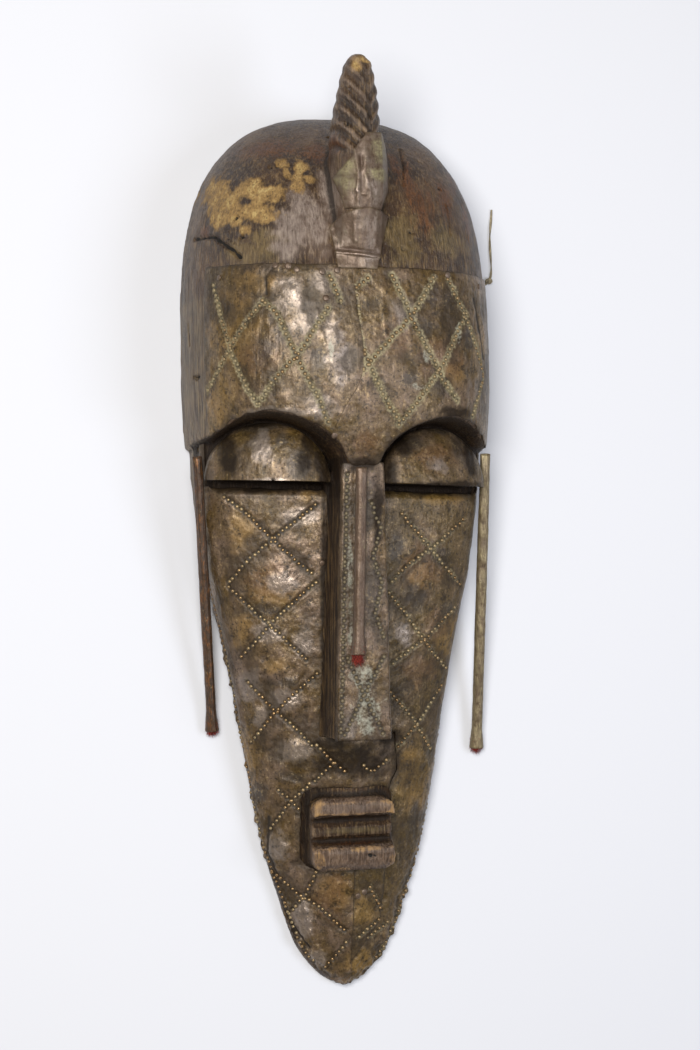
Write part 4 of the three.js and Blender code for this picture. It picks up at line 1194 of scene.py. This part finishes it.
def forehead_lap(points):
    """The right sheet rides up over the left one along the seam."""
    return 0.85 * np.exp(-np.maximum(points[:, 0] - seam_at(points[:, 1]), 0) / 3.5)


forehead_rings = np.array([forehead_ring(y, LIFT, 390) for y in np.arange(40, 176, STEP)])
left_rows = [FOREHEAD_ROWS[i] for i in (0, 1, 3)] + [FOREHEAD_ROWS[2][:5], FOREHEAD_ROWS[4][:2]]
right_rows = FOREHEAD_ROWS[5:] + [FOREHEAD_ROWS[2][5:], FOREHEAD_ROWS[4][2:], SEAM_ROW]
clad("forehead_left_sheet", brass, "brass_sheet", forehead_rings, lambda p: forehead_field(p, -1),
     left_rows, creases=FOREHEAD_CREASES, film=(0.5, 0.9))
clad("forehead_right_sheet", brass, "brass_sheet", forehead_rings, lambda p: forehead_field(p, 1),
     right_rows, [(1, FOREHEAD_SIDE_ROW)], FOREHEAD_CREASES, forehead_lap, film=(0.35, 1.0))

# The cheek sheets, and the small ones on the lip and the chin: brass beaten round the cheeks and
# down the sides, and nailed along the back edge, where it is crumpled. They meet under the nose,
# where the wood shows through the gaps, and again down the middle of the chin.
CHEEK_SEAM_X, SHEET_FOOT_Z, CHEEK_LAP = 2.5, 8, 1.5
BARE_TEMPLE = [[70, 0], [70, 40], [-60, 0]]
UPPER_LIP_SHEET = [[-24, -131.5], [-28, -166], [26, -170], [28, -164], [32.5, -156], [31, -143],
                   [30, -131.5]]
CHIN_SHEET = [[2.65, -215], [26, -215], [24, -258], [2.65, -285]]
LEFT_ROWS = [
    [(-81, 27), (-65, 13), (-51, -2), (-36, -16), (-27, -24)],
    [(-24, 20), (-46, 3), (-67, -15), (-78, -29)],
    [(-78, -32), (-64, -47), (-44, -66), (-30, -80)],
    [(-24, -30), (-46, -50), (-56, -61), (-70, -78)],
    [(-66, -95), (-55, -108), (-35, -127), (-26, -137)],
    [(-23, -90), (-40, -105), (-51, -117), (-63, -135)],
    [(-26, -163), (-33, -169), (-42, -179), (-51, -193)],
    [(-46, -167), (-39, -174), (-34, -180)],
    [(-49, -223), (-34, -237), (-19, -247), (-3, -263)],
    [(-22, -223), (-27, -236), (-38, -251)],
    [(-2, -272), (-14, -289)],
]
RIGHT_ROWS = [
    [(34, 13), (50, -5), (68, -25), (79, -35)],
    [(79, 8), (60, -7), (38, -21), (27, -31)],
    [(25, -38), (41, -58), (58, -79), (70, -91)],
    [(75, -50), (55, -67), (28, -85)],
    [(27, -104), (45, -124), (59, -145)],
    [(66, -102), (49, -125), (31, -143)],
    [(29, -261), (17, -268), (4, -272)],
]
LIP_ROWS = [
    [(-23, -137), (-12, -149), (-24, -161)],
    [(-11, -149), (-5, -155)],
    [(8, -151), (15, -157), (25, -149)],
]
CHIN_ROWS = [[(15, -235), (23, -250)], [(22, -258), (8, -268)]]
SIDE_ROW = [(-285, 10), (-262, 11), (-230, 11), (-180, 11), (-130, 12), (-80, 14), (-40, 16), (20, 20)]
CHEEK_CREASES = [
    [0.7, 1.6, [(-90, 16), (-86, -10), (-80, -36)]],
    [0.5, 1.3, [(-17, 20), (-21, 5), (-19, -6)]],
    [0.45, 1.2, [(-30, -95), (-26, -112), (-28, -124)]],
    [0.45, 1.1, [(-36, -92), (-33, -106)]],
    [0.5, 1.4, [(-52, -165), (-44, -160), (-34, -163)]],
    [-0.6, 1.2, [(-52, -185), (-52, -210), (-46, -225)]],
    [0.5, 1.3, [(50, -72), (56, -60), (62, -52)]],
    [0.4, 1.2, [(44, -96), (48, -108), (47, -118)]],
    [0.5, 1.3, [(-30, -240), (-25, -262), (-20, -275)]],
    [0.4, 1.2, [(12, -272), (9, -284)]],
    [-0.8, 1.0, [(-49, -230), (-38, -255), (-25, -275)]],
    [1.1, 6, [(-44, -104), (-40, -110)]],
    [-1.0, 5, [(-54, -100), (-52, -112)]],
    [1.0, 5, [(-61, -118), (-58, -113)]],
    [1.2, 7, [(-37, -140), (-34, -146)]],
    [-0.9, 4, [(-46, -135), (-46, -145)]],
    [1.0, 6, [(-46, -203), (-44, -208)]],
    [1.0, 5, [(-30, -252), (-26, -262)]],
    [-0.8, 4, [(-36, -13), (-32, -18)]],
    [0.8, 6, [(-50, -34), (-46, -28)]],
]


def cheek_field(points, side):
    """Where a cheek sheet is. The left one runs on under its neighbours."""
    x, y, z = points.T
    under_eye = SLIT["lower_y"] + 4.6 - y - CARVERS_SLANT * x
    under_nose = np.maximum(beside_nose(x, y, z) - 0.6, NOSE["tip_y"] - 0.5 - y)
    limits = [
        z - SHEET_FOOT_Z + ragged(points, "cheek_foot"),
        under_nose + ragged(points, "beside_nose"),
        -inside(mouth_outline(0.5), x, y),
        bare_by_mouth(points),
        -inside(CHIN_SHEET, x, y) + CHEEK_LAP,
        -inside(UPPER_LIP_SHEET, x, y) + (CHEEK_LAP if side < 0 else -0.7),
        np.maximum(np.abs(x) - 92.5, under_eye) + ragged(points, "under_eye"),
        brow_line(x, z) - 1 - y,
        side * (x - CHEEK_SEAM_X) + (CHEEK_LAP if side < 0 else 0),
    ]
    if side < 0:
        limits.append(np.where(x < 0, -inside(BARE_TEMPLE, y, z), 99))
    return np.minimum.reduce(limits)


def beside_nose(x, y, z):
    """How far each place is from the nose's side wall."""
    return np.abs(x) - nose_half(y) - NOSE["draft"] * (nose_front(y) - z)


def bare_by_mouth(points):
    """The wood shows in a rounded groove above and to the left of the mouth."""
    off_middle = inside(mouth_outline(2.5), points[:, 0] + 2, points[:, 1] - 3)
    return ragged(points, "by_mouth") - off_middle


def crumple(points):
    """The nailed back edge is crumpled."""
    low = np.exp(-np.maximum(points[:, 2] - SHEET_FOOT_Z, 0) / 6)
    more = 1 + 0.9 * below(points[:, 1], -40, 60)
    return more * low * waves(points, [(0.9, 3.6, 55), (0.5, 2, 56)]) + 0.3 * low


def turned_in(ring):
    """The same outline with the sheet's top edge bent down into the eye slit."""
    x, y, z = ring.T
    over = np.clip(y + CARVERS_SLANT * x - SLIT["lower_y"] + 1.5, 0, 6.5) * below(np.abs(x), 91, 4)
    return np.column_stack([x, y, z - 0.15 * over ** 2])


cheek_places = np.concatenate([np.arange(66, -300, -0.9), [-300.3, -301, -301.25, -301.3]])
cheek_rings = [turned_in(face_ring(y, LIFT, 300)) for y in cheek_places]
for ring, shrink in zip(cheek_rings[-3:], (0.93, 0.72, 0.45)):
    ring[:, 0] *= shrink
    ring[:, 2] = 2 + (ring[:, 2] - 2) * shrink
cheek_rings = np.array(cheek_rings)
for side, name, rows, film in (
    (-1, "left_cheek_sheet", LEFT_ROWS, (0.15, 0.25)),
    (1, "right_cheek_sheet", RIGHT_ROWS, (0.8, 0.6)),
):
    clad(name, brass, "brass_sheet", cheek_rings, lambda p, side=side: cheek_field(p, side),
         rows, [(side, SIDE_ROW)], CHEEK_CREASES, crumple, film=film)


def lip_field(points):
    within = inside(UPPER_LIP_SHEET, points[:, 0], points[:, 1]) + ragged(points, "upper_lip")
    return np.minimum(within, bare_by_mouth(points))


def chin_field(points):
    return inside(CHIN_SHEET, points[:, 0], points[:, 1]) + ragged(points, "chin")


lip_rings = np.array([face_ring(y, LIFT + 0.1, 321)[100:221] for y in np.arange(-126, -170, -0.8)])
clad("upper_lip_sheet", brass, "brass_sheet", lip_rings, lip_field, LIP_ROWS, film=(0.3, 0.3))
chin_rings = np.array([face_ring(y, LIFT + 0.5, 321)[90:171] for y in np.arange(-210, -292, -0.8)])
clad("chin_sheet", brass, "brass_sheet", chin_rings, chin_field, CHIN_ROWS, film=(0.7, 0.6))

# The eyelid sheets: one small sheet beaten smooth over each half dome. They are the shiniest metal
# on the mask, because they are handled and rubbed.
def lid_field(points):
    x, y, z = points.T
    return np.minimum(brow_line(x, z) + 2.5 - y, beside_nose(x, y, z) + 1)


# Each lid has a painted highlight where it is rubbed, and painted shade round it.
for side, name in ((-1, "left_eyelid_sheet"), (1, "right_eyelid_sheet")):
    dome_grid = lid_grid(side, LIFT, 44, 121, np.linspace(0.1, 1, 14))
    clad(name, brass, "brass_sheet", dome_grid, lid_field, rough=0.8, film=(0.6, 0.1))

# The nose sheet: one strip bent over the front of the nose, nailed down both edges. The side walls
# of the nose are bare wood.
NOSE_SHEET = {"top_y": 45.5, "wrap": 6, "corner": 2.6}
NOSE_ROWS = [
    [(-10.5, 38), (-11.5, 0), (-13, -50), (-14.5, -100), (-15, -126)],
    [(-11, -78), (0, -102), (12, -127)],
    [(13, -78), (0, -102), (-13, -127)],
    [(5, 20), (11, 4), (6, -14), (12, -32), (7, -50), (13, -66)],
]


def nose_sheet_ring(y):
    half, front, corner = nose_half(y) + LIFT, nose_front(y) + LIFT, NOSE_SHEET["corner"]
    right = [[half + 0.5, front - NOSE_SHEET["wrap"] - 3]] + [
        [half - corner + corner * np.cos(bend), front - corner + corner * np.sin(bend)]
        for bend in np.linspace(0, np.pi / 2, 8)]
    outline = np.array(right + [[-x, z] for x, z in right[::-1]])
    return evenly(np.column_stack([outline[:, 0], np.full(len(outline), y), outline[:, 1]]), 64)


def nose_field(points):
    _, y, z = points.T
    wrapped = z - nose_front(y) + NOSE_SHEET["wrap"] - 0.8 + ragged(points, "nose_strip")
    return np.minimum.reduce([wrapped, NOSE_SHEET["top_y"] - y, y - NOSE["tip_y"] + 0.3])


nose_rings = np.array([nose_sheet_ring(y) for y in np.arange(46, -132.3, -0.85)])
clad("nose_sheet", brass, "brass_sheet", nose_rings, nose_field, NOSE_ROWS, film=(0.1, 0.35))

# The crest plates: two pieces of thinner, redder copper sheet, cold bent over the foot of the crest,
# creased where they bend; the lower one has its top cut in a curve and its foot folded up.
SADDLE_PLATE = [[3.8, 251], [-6.3, 240.6], [-6.3, 237.4], [-18.4, 224.4], [-11.8, 203.5], [12.2, 203],
                [19.7, 216], [20.8, 222.4], [18.3, 243.8], [14.7, 252]]
FOOT_PLATE = [[-19.4, 193.4], [-13.6, 200.6], [-5.3, 203], [4.8, 204], [19.2, 200.4], [14.4, 184],
              [9.4, 166.5], [-16, 167.5], [-17, 178]]
PLATE_FOOT_Z = 92
PLATE_CREASES = [
    [0.6, 1.2, [(-5.5, 240), (-3.5, 226), (-4.5, 214), (-3, 203)]],
    [0.5, 1.4, [(2.5, 238), (-0.5, 226), (3.5, 214), (4.5, 204)]],
    [-0.7, 1.6, [(-1.5, 236), (-1.5, 214)]],
    [0.5, 1.2, [(-5, 214), (1, 212)]],
    [1.0, 0.8, [(-18, 177.5), (14, 173.5)]],
    [-0.6, 1.2, [(-18, 180), (14, 176)]],
    [0.5, 1.5, [(-6, 200), (-5, 184)]],
    [0.4, 1.8, [(8, 198), (9, 182)]],
    [-0.4, 1.5, [(-18, 225), (-4, 222)]],
]


def plate_ring(y, lift):
    """A sheet bent over the ridge of the crest, its wings standing off, its foot on the forehead."""
    x = np.linspace(-25, 27, 105)
    drop = 0.03 * x ** 2 + np.maximum(np.abs(x) - 13, 0)
    wood = forehead_height(y) * dome(np.abs(x) / forehead_half(y), FOREHEAD_BOXY, FOREHEAD_BOXY)
    over_crest, over_wood = between(CREST, 2, y) + lift - drop, wood + lift + 1.5
    blend = np.log(np.exp((over_crest - 100) / 1.2) + np.exp((over_wood - 100) / 1.2)) * 1.2 + 100
    return np.column_stack([x, np.full(105, y), blend])


# Dull copper: pink-violet where it is rubbed, red-brown in its dents, grey-green dust at its edges.
copper = worn_finish(
    "dull_copper_sheet",
    {"cloud": (11, 5, 0.6, 1, 1.3, 1), "blot": (4, 6, 0.68, 1, 1.3, 1), "fleck": (1.4, 5, 0.7),
     "streak": (0.9, 4, 0.65, 1, 16, 1), "dent": (9, 2, 0.5, 1, 1.6, 1)},
    [
        [None, 0, 0, 0, "#5f4f42", 0.4, 0.4],
        [{"cloud": 1, "blot": 0.6}, 0.74, 1.02, 0.8, "#81756b", 0.5, 0.33],
        [{"rosy": 0.6, "blot": 1.2, "streak": 0.8}, 1.3, 1.75, 0.8, "#4f3c2c", 0.45, 0.4],
        [{"tan": 0.8, "blot": 1}, 0.9, 1.5, 0.85, "#7c7154", 0.35, 0.5],
        [{"tan": 0.5, "streak": 1}, 1.0, 1.2, 0.7, "#a89d7c", 0.4, 0.45],
        [{"dark": 0.8, "blot": 1}, 0.9, 1.4, 0.9, "#33251b", 0.4, 0.4],
        [{"dark": 0.4, "streak": 1, "blot": 0.6}, 1.2, 1.4, 0.75, "#8a5a30", 0.4, 0.45],
        [{"streak": -1}, -0.43, -0.32, 0.8, "#2a1e15", 0.2, 0.6],
        [{"blot": -1, "fleck": -0.4}, -0.66, -0.5, 0.65, "#413125", 0.4, 0.5],
        [{"verdigris": 0.6, "blot": 1.4, "fleck": 0.8}, 1.2, 1.95, 0.75, "#76714f", 0, 0.75],
        [{"verdigris": 0.4, "fleck": 2, "blot": 0.6}, 1.65, 2.0, 0.5, "#9c9670", 0, 0.85],
        [{"fleck": 1}, 0.62, 0.7, 0.5, "#a59a78", 0.4, 0.45],
        [{"fleck": -1}, -0.4, -0.3, 0.7, "#2f2218", 0.2, 0.6],
        [{"edge_away": -0.5, "blot": 1.2}, 0, 0.5, 0.6, "#4f4128", 0.1, 0.75],
        [{"height": -1.1, "fleck": 0.8}, 0.0, 0.35, 0.6, "#3f2d22", 0.3, 0.5],
        [{"height": 1.2, "fleck": 0.7}, 1.25, 1.65, 0.6, "#ab9a91", 0.7, 0.32],
    ],
    {"dent": 1.2, "fleck": 0.15, "blot": 0.3, "streak": 0.12},
)


def plate_field(points, outline):
    within = inside(outline, points[:, 0], points[:, 1]) + ragged(points, "plate")
    return np.minimum(within, points[:, 2] - PLATE_FOOT_Z)


for name, outline, lift in (
    ("crest_saddle_plate", SADDLE_PLATE, 1.2),
    ("crest_foot_plate", FOOT_PLATE, 1.6),
):
    ys = np.array([y for _, y in outline])
    rings = np.array([plate_ring(y, lift) for y in np.arange(ys.min() - 2, ys.max() + 2, 0.6)])
    clad(name, copper, "copper_sheet", rings, lambda p, outline=outline: plate_field(p, outline),
         creases=PLATE_CREASES, rough=0.8)

# The tacks: small brass ones with domed heads, struck in by hand, so they differ a little in size,
# lean, and wander off their rows. The few larger ones are flat copper nails at the sheets' corners.
NAIL_PLACES = [
    (-56, 171.5), (-49, 170.5), (-43, 169), (-26, 167.5), (-19, 167), (-26, 150), (60, 163),
    (-22, -20), (13, -238), (8, -241), (-88, 166), (86, 158), (-28, -200),
]
NAIL = {"smallest": 1.8, "largest": 2.35, "lean": 0.12, "reach": 3}


def head_object(name, outline, sides, finish):
    """A round head: an outline of [radius, height] round the upward axis, shut at both ends."""
    angle = np.linspace(0, 2 * np.pi, sides, endpoint=False)
    rings = [np.column_stack([r * np.cos(angle), r * np.sin(angle), np.full(sides, z)])
             for r, z in outline]
    points, faces = tube_of(np.array(rings))
    # 0 at the foot, 1 at the top; the top is painted lighter, for wear and as a painted highlight.
    worn = np.clip(points[:, 2] / outline[-1][1], 0, 1)
    even = np.ones(len(points))
    marks = {"worn": worn, "height": 0.4 + 0.3 * worn, "rosy": 0.7 * even, "edge_away": 9 * even}
    return mesh_object(name, points, faces, finish, marks)


def group_with(name, inputs):
    """A geometry tree with the points or mesh it works on and the named inputs."""
    tree = bpy.data.node_groups.new(name, "GeometryNodeTree")
    tree.interface.new_socket("Geometry", in_out="OUTPUT", socket_type="NodeSocketGeometry")
    tree.interface.new_socket("Geometry", in_out="INPUT", socket_type="NodeSocketGeometry")
    for label, kind in inputs.items():
        tree.interface.new_socket(label, in_out="INPUT", socket_type=kind)
    return tree, add(tree, "NodeGroupInput").outputs, add(tree, "NodeGroupOutput")


def grown_from(piece, tree, values):
    """Runs a geometry tree on a piece, with its inputs by name, and keeps the plain mesh."""
    step = piece.modifiers.new(tree.name, "NODES")
    step.node_group = tree
    for item in tree.interface.items_tree:
        if item.in_out == "INPUT" and item.name in values:
            step[item.identifier] = values[item.name]
    evaluated(piece)


# A tack stands on each point, along its way_out, with its own size and lean.
tack_tree, given, result = group_with("tacks_on_points", {
    "Head": "NodeSocketObject", "Smallest": "NodeSocketFloat", "Largest": "NodeSocketFloat",
    "Lean": "NodeSocketFloat", "Seed": "NodeSocketInt", "Finish": "NodeSocketMaterial",
})
head = add(tack_tree, "GeometryNodeObjectInfo", inputs={"Object": given["Head"]})
way_out = add(tack_tree, "GeometryNodeInputNamedAttribute", {"data_type": "FLOAT_VECTOR"},
              {"Name": "way_out"})
upright = add(tack_tree, "FunctionNodeAlignRotationToVector", {"axis": "Z"},
              {"Vector": way_out.outputs["Attribute"]})
leans = []
for k in range(2):
    seed = add(tack_tree, "ShaderNodeMath", inputs={0: given["Seed"], 1: 17.0 * (k + 1)})
    least = add(tack_tree, "ShaderNodeMath", {"operation": "MULTIPLY"}, {0: given["Lean"], 1: -1.0})
    one = add(tack_tree, "FunctionNodeRandomValue", {"data_type": "FLOAT"},
              {2: least.outputs[0], 3: given["Lean"], "Seed": seed.outputs[0]})
    leans.append(one.outputs[1])
bent = add(tack_tree, "ShaderNodeCombineXYZ", inputs={0: leans[0], 1: leans[1], 2: 0.0})
leaning = add(tack_tree, "FunctionNodeRotateRotation", {"rotation_space": "LOCAL"},
              {"Rotation": upright.outputs[0], "Rotate By": bent.outputs[0]})
size = add(tack_tree, "FunctionNodeRandomValue", {"data_type": "FLOAT"},
           {2: given["Smallest"], 3: given["Largest"], "Seed": given["Seed"]})
stand = add(tack_tree, "GeometryNodeInstanceOnPoints", inputs={
    "Points": given["Geometry"], "Instance": head.outputs["Geometry"],
    "Rotation": leaning.outputs[0], "Scale": size.outputs[1],
})
real = add(tack_tree, "GeometryNodeRealizeInstances", inputs={0: stand.outputs[0]})
dressed = add(tack_tree, "GeometryNodeSetMaterial", inputs={
    0: real.outputs[0], "Material": given["Finish"]})
tack_tree.links.new(dressed.outputs[0], result.inputs[0])

# Tack brass: small cast domes, golden on top where they are worn and painted lighter there as a
# highlight, with darker flecks towards the foot.
tack_brass = worn_finish(
    "worn_tack_brass",
    {"area": (30, 3, 0.5), "fleck": (0.9, 4, 0.65)},
    [
        [None, 0, 0, 0, "#7d6445", 0.75, 0.36],
        [{"area": 1}, 0.42, 0.58, 0.8, "#8f8468", 0.5, 0.5],
        [{"fleck": 1, "worn": -0.3}, 0.4, 0.58, 0.8, "#3b2f1d", 0.2, 0.55],
        # Golden top: wear, and a painted highlight.
        [{"worn": 1, "fleck": 0.5, "dusty": -0.15}, 1.0, 1.36, 0.75, "#ae9168", 0.8, 0.3],
        [{"dusty": 0.8, "area": 1, "fleck": 1}, 1.35, 2.1, 0.7, "#7f7558", 0, 0.6],
        [{"dusty": 1, "fleck": 0.6}, 1.5, 2.1, 0.8, "#544b3c", 0.1, 0.55],
    ],
    {"fleck": 0.12},
)

# A nail goes in where the brass is highest at its place.
nailed = [bpy.data.objects[name + "_brass"].data for name in (
    "forehead_left", "forehead_right", "left_cheek", "right_cheek", "chin")]
sheet_points = np.vstack([points_of(mesh) for mesh in nailed])
sheet_normals = np.vstack([[v.normal[:] for v in mesh.vertices] for mesh in nailed])
nail_at = []
for x, y in NAIL_PLACES:
    close = np.hypot(sheet_points[:, 0] - x, sheet_points[:, 1] - y) < NAIL["reach"]
    nail_at.append(np.where(close, sheet_points[:, 2], -99).argmax())

tack_head = head_object(
    "tack_head", [(1.0, -0.45), (1.08, 0.15), (0.84, 0.62), (0.42, 0.9)], 8, tack_brass)
nail_head = head_object(
    "nail_head", [(0.9, -0.4), (1.0, 0.12), (0.86, 0.3), (0.45, 0.38)], 10, copper)
for name, places, directions, head, kind, finish, slot in (
    ("tack_heads", np.vstack(tack_places), np.vstack(tack_directions), tack_head, TACK,
     tack_brass, "brass_sheet"),
    ("copper_nails", sheet_points[nail_at], sheet_normals[nail_at], nail_head, NAIL,
     copper, "copper_sheet"),
):
    spots = bpy.data.meshes.new(name)
    spots.from_pydata([tuple(p * MM) for p in places], [], [])
    layer = spots.attributes.new("way_out", "FLOAT_VECTOR", "POINT")
    layer.data.foreach_set("vector", directions.astype(np.float32).ravel())
    heads = bpy.data.objects.new(name, spots)
    bpy.context.collection.objects.link(heads)
    grown_from(heads, tack_tree, {
        "Head": head, "Smallest": kind["smallest"], "Largest": kind["largest"],
        "Lean": kind["lean"], "Seed": 5, "Finish": finish,
    })
    heads.data.shade_smooth()
    x, y, z = points_of(heads.data).T
    on_nose = (np.abs(x) < 17) & (y < 47) & (z > 85)
    dusty = 0.9 * above(y, 50, 10) + 0.55 * (x > 19) * (y < 50) + 1.7 * on_nose
    layer = heads.data.attributes.new("dusty", "FLOAT", "POINT")
    layer.data.foreach_set("value", dusty.astype(np.float32))
    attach(heads, "root")
for piece in (tack_head, nail_head):
    bpy.data.objects.remove(piece)

# The hanging tubes: strips of thin copper rolled round a rod, each with its long edge lapped over,
# flattened at the top where it is nailed under the brow, and opened out at the bottom.
TUBE = {"wall": 0.5, "top": 3.0, "middle": 3.35, "end": 4.7, "flare": 14, "lap": 0.75,
        "lap_rise": 0.62, "lap_fade": 0.35, "around": 44}
PINCH = {"flatter": 0.35, "wider": 0.1, "length": 7}
HANGERS = [
    {"name": "nose", "top": (-2.5, 42.6, 109.9), "end": (-5.4, -75.5, 99.9), "tuft": 8,
     "seam": 2.4, "look": "rosy"},
    {"name": "left_temple", "top": (-97.4, 53, 49), "end": (-85.5, -127.7, 4.9), "tuft": 3,
     "seam": 1.2, "look": "dark"},
    {"name": "right_temple", "top": (96, 51.5, 45.3), "end": (95.7, -146.9, 4.9), "tuft": 3,
     "seam": 1.9, "look": "tan"},
]


def axes_along(top, end):
    top, end = np.array(top, float), np.array(end, float)
    along = (end - top) / np.linalg.norm(end - top)
    side = np.cross(along, (0, 0, 1))
    side /= np.linalg.norm(side)
    return top, np.linalg.norm(end - top), along, side, np.cross(side, along)


def rolled_tube(hanger, seed):
    top, length, along, side, up = axes_along(hanger["top"], hanger["end"])
    flare_from = length - TUBE["flare"]
    at = np.concatenate([np.linspace(0, flare_from, 110, endpoint=False),
                         np.linspace(flare_from, length, 18)])
    radius = np.interp(at, [0, length * 0.35, flare_from, length],
                       [TUBE["top"], TUBE["middle"], TUBE["middle"], TUBE["end"]])
    turn_by = np.linspace(0, 2 * np.pi + TUBE["lap"], TUBE["around"])
    lap = TUBE["lap_rise"] * above(turn_by, 2 * np.pi - TUBE["lap_fade"], TUBE["lap_fade"])
    rings = []
    for distance, r, opened in zip(at, radius, above(at, flare_from, TUBE["flare"])):
        angle = hanger["seam"] + turn_by + 0.12 * np.sin(distance / 31 + seed)
        pinch = np.exp(-distance / PINCH["length"])
        x = (r + lap) * np.cos(angle) * (1 + PINCH["wider"] * pinch)
        z = (r + lap) * np.sin(angle) * (1 - PINCH["flatter"] * pinch) * (1 - 0.12 * opened)
        rings.append(top + along * distance + x[:, None] * side + z[:, None] * up)
    points, triangles = gridded(rings)
    outward = normals_of(points, triangles)
    middle = np.repeat(top + at[:, None] * along, TUBE["around"], axis=0)
    if np.einsum("ij,ij->i", outward, points - middle).sum() < 0:
        triangles, outward = triangles[:, ::-1], -outward
    bulges = waves(points, [(0.16, 6, seed + 70), (0.1, (2.2, 12, 2.2), seed + 71)])
    points = points + outward * bulges[:, None]
    return thickened(points, triangles, outward, TUBE["wall"])


for index, hanger in enumerate(HANGERS):
    tube_points, tube_faces = rolled_tube(hanger, index * 3)
    looks = {key: np.full(len(tube_points), float(hanger["look"] == key))
             for key in ("rosy", "dark", "tan")}
    looks["height"] = 0.45 + 0.4 * noise(tube_points, (2, 9, 2), index + 77)
    looks["edge_away"] = np.full(len(tube_points), 9.0)
    tube = mesh_object(hanger["name"] + "_rolled", tube_points, tube_faces, copper, looks)
    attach(tube, "root")
    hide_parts(hanger["name"] + "_tube")

# The tufts: loose red wool pushed into the tubes' ends, a core that short curled fibres stand on.
# The wool is dyed a dull crimson, dark and dusty deep in the tuft.
WOOL = {"fibres_per_m2": 2.4e6, "lay": 1.3, "loose": 0.8, "shortest": 0.5, "longest": 1.1,
        "fibre_length": 3.2, "fibre_radius": 0.16}
# The core's rings, as places from the tube's end, in mm and in tuft lengths, and radius.
TUFT_CORE = [(-8, 0, 2.0), (-4, 0, 2.4), (0, 0, 2.5), (0, 0.4, 2.3), (0, 0.7, 1.2)]
wool = worn_finish(
    "dyed_red_wool",
    {"fluff": (1.1, 3, 0.6)},
    [
        [None, 0, 0, 0, "#4a120d", 0, 0.95],
        [{"fluff": 1}, 0.4, 0.62, 0.95, "#9c3527", 0, 0.95],
    ],
    {"fluff": 0.1},
)

tuft_tree, given, result = group_with("wool_on_core", {
    "Fibre": "NodeSocketObject", "Density": "NodeSocketFloat", "Lay": "NodeSocketVector",
    "Shortest": "NodeSocketFloat", "Longest": "NodeSocketFloat", "Seed": "NodeSocketInt",
    "Finish": "NodeSocketMaterial",
})
sown = add(tuft_tree, "GeometryNodeDistributePointsOnFaces", inputs={
    "Mesh": given["Geometry"], "Density": given["Density"], "Seed": given["Seed"]})
heading = add(tuft_tree, "ShaderNodeVectorMath", {"operation": "ADD"},
              {0: sown.outputs["Normal"], 1: given["Lay"]})
scatter = add(tuft_tree, "FunctionNodeRandomValue", {"data_type": "FLOAT_VECTOR"},
              {0: (-WOOL["loose"],) * 3, 1: (WOOL["loose"],) * 3, "Seed": given["Seed"]})
heading = add(tuft_tree, "ShaderNodeVectorMath", {"operation": "ADD"},
              {0: heading.outputs[0], 1: scatter.outputs[0]})
upright = add(tuft_tree, "FunctionNodeAlignRotationToVector", {"axis": "Z"},
              {"Vector": heading.outputs[0]})
size = add(tuft_tree, "FunctionNodeRandomValue", {"data_type": "FLOAT"},
           {2: given["Shortest"], 3: given["Longest"], "Seed": given["Seed"]})
fibre = add(tuft_tree, "GeometryNodeObjectInfo", inputs={"Object": given["Fibre"]})
stand = add(tuft_tree, "GeometryNodeInstanceOnPoints", inputs={
    "Points": sown.outputs["Points"], "Instance": fibre.outputs["Geometry"],
    "Rotation": upright.outputs[0], "Scale": size.outputs[1]})
real = add(tuft_tree, "GeometryNodeRealizeInstances", inputs={0: stand.outputs[0]})
joined = add(tuft_tree, "GeometryNodeJoinGeometry")
tuft_tree.links.new(real.outputs[0], joined.inputs[0])
tuft_tree.links.new(given["Geometry"], joined.inputs[0])
dressed = add(tuft_tree, "GeometryNodeSetMaterial", inputs={
    0: joined.outputs[0], "Material": given["Finish"]})
tuft_tree.links.new(dressed.outputs[0], result.inputs[0])

share = np.linspace(0, 1, 5)
strand_line = np.column_stack([
    0.7 * share ** 2, 0.25 * np.sin(share * 4), WOOL["fibre_length"] * share])
three_sides = np.array([[np.cos(a), np.sin(a), 0] for a in (0, 2.1, 4.2)])
strand_rings = [middle + WOOL["fibre_radius"] * (1 - 0.6 * s) * three_sides
                for middle, s in zip(strand_line, share)]
strand = mesh_object("wool_fibre", *tube_of(np.array(strand_rings)), wool)
for index, hanger in enumerate(HANGERS):
    top, length, along, side, up = axes_along(hanger["top"], hanger["end"])
    around = oval(1, 1, 12)
    around = around[:, :1] * side + around[:, 1:] * up
    core_rings = [top + along * (length + past + lengths * hanger["tuft"]) + radius * around
                  for past, lengths, radius in TUFT_CORE]
    core_points, core_faces = tube_of(np.array(core_rings))
    if signed_volume(core_points, core_faces) < 0:
        core_faces = core_faces[:, ::-1]
    tuft = mesh_object(hanger["name"] + "_wool", core_points, core_faces, wool)
    grown_from(tuft, tuft_tree, {
        "Fibre": strand, "Density": WOOL["fibres_per_m2"], "Lay": tuple(along * WOOL["lay"]),
        "Shortest": WOOL["shortest"], "Longest": WOOL["longest"], "Seed": index, "Finish": wool,
    })
    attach(tuft, "root")
    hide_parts(hanger["name"] + "_tuft")
bpy.data.objects.remove(strand)
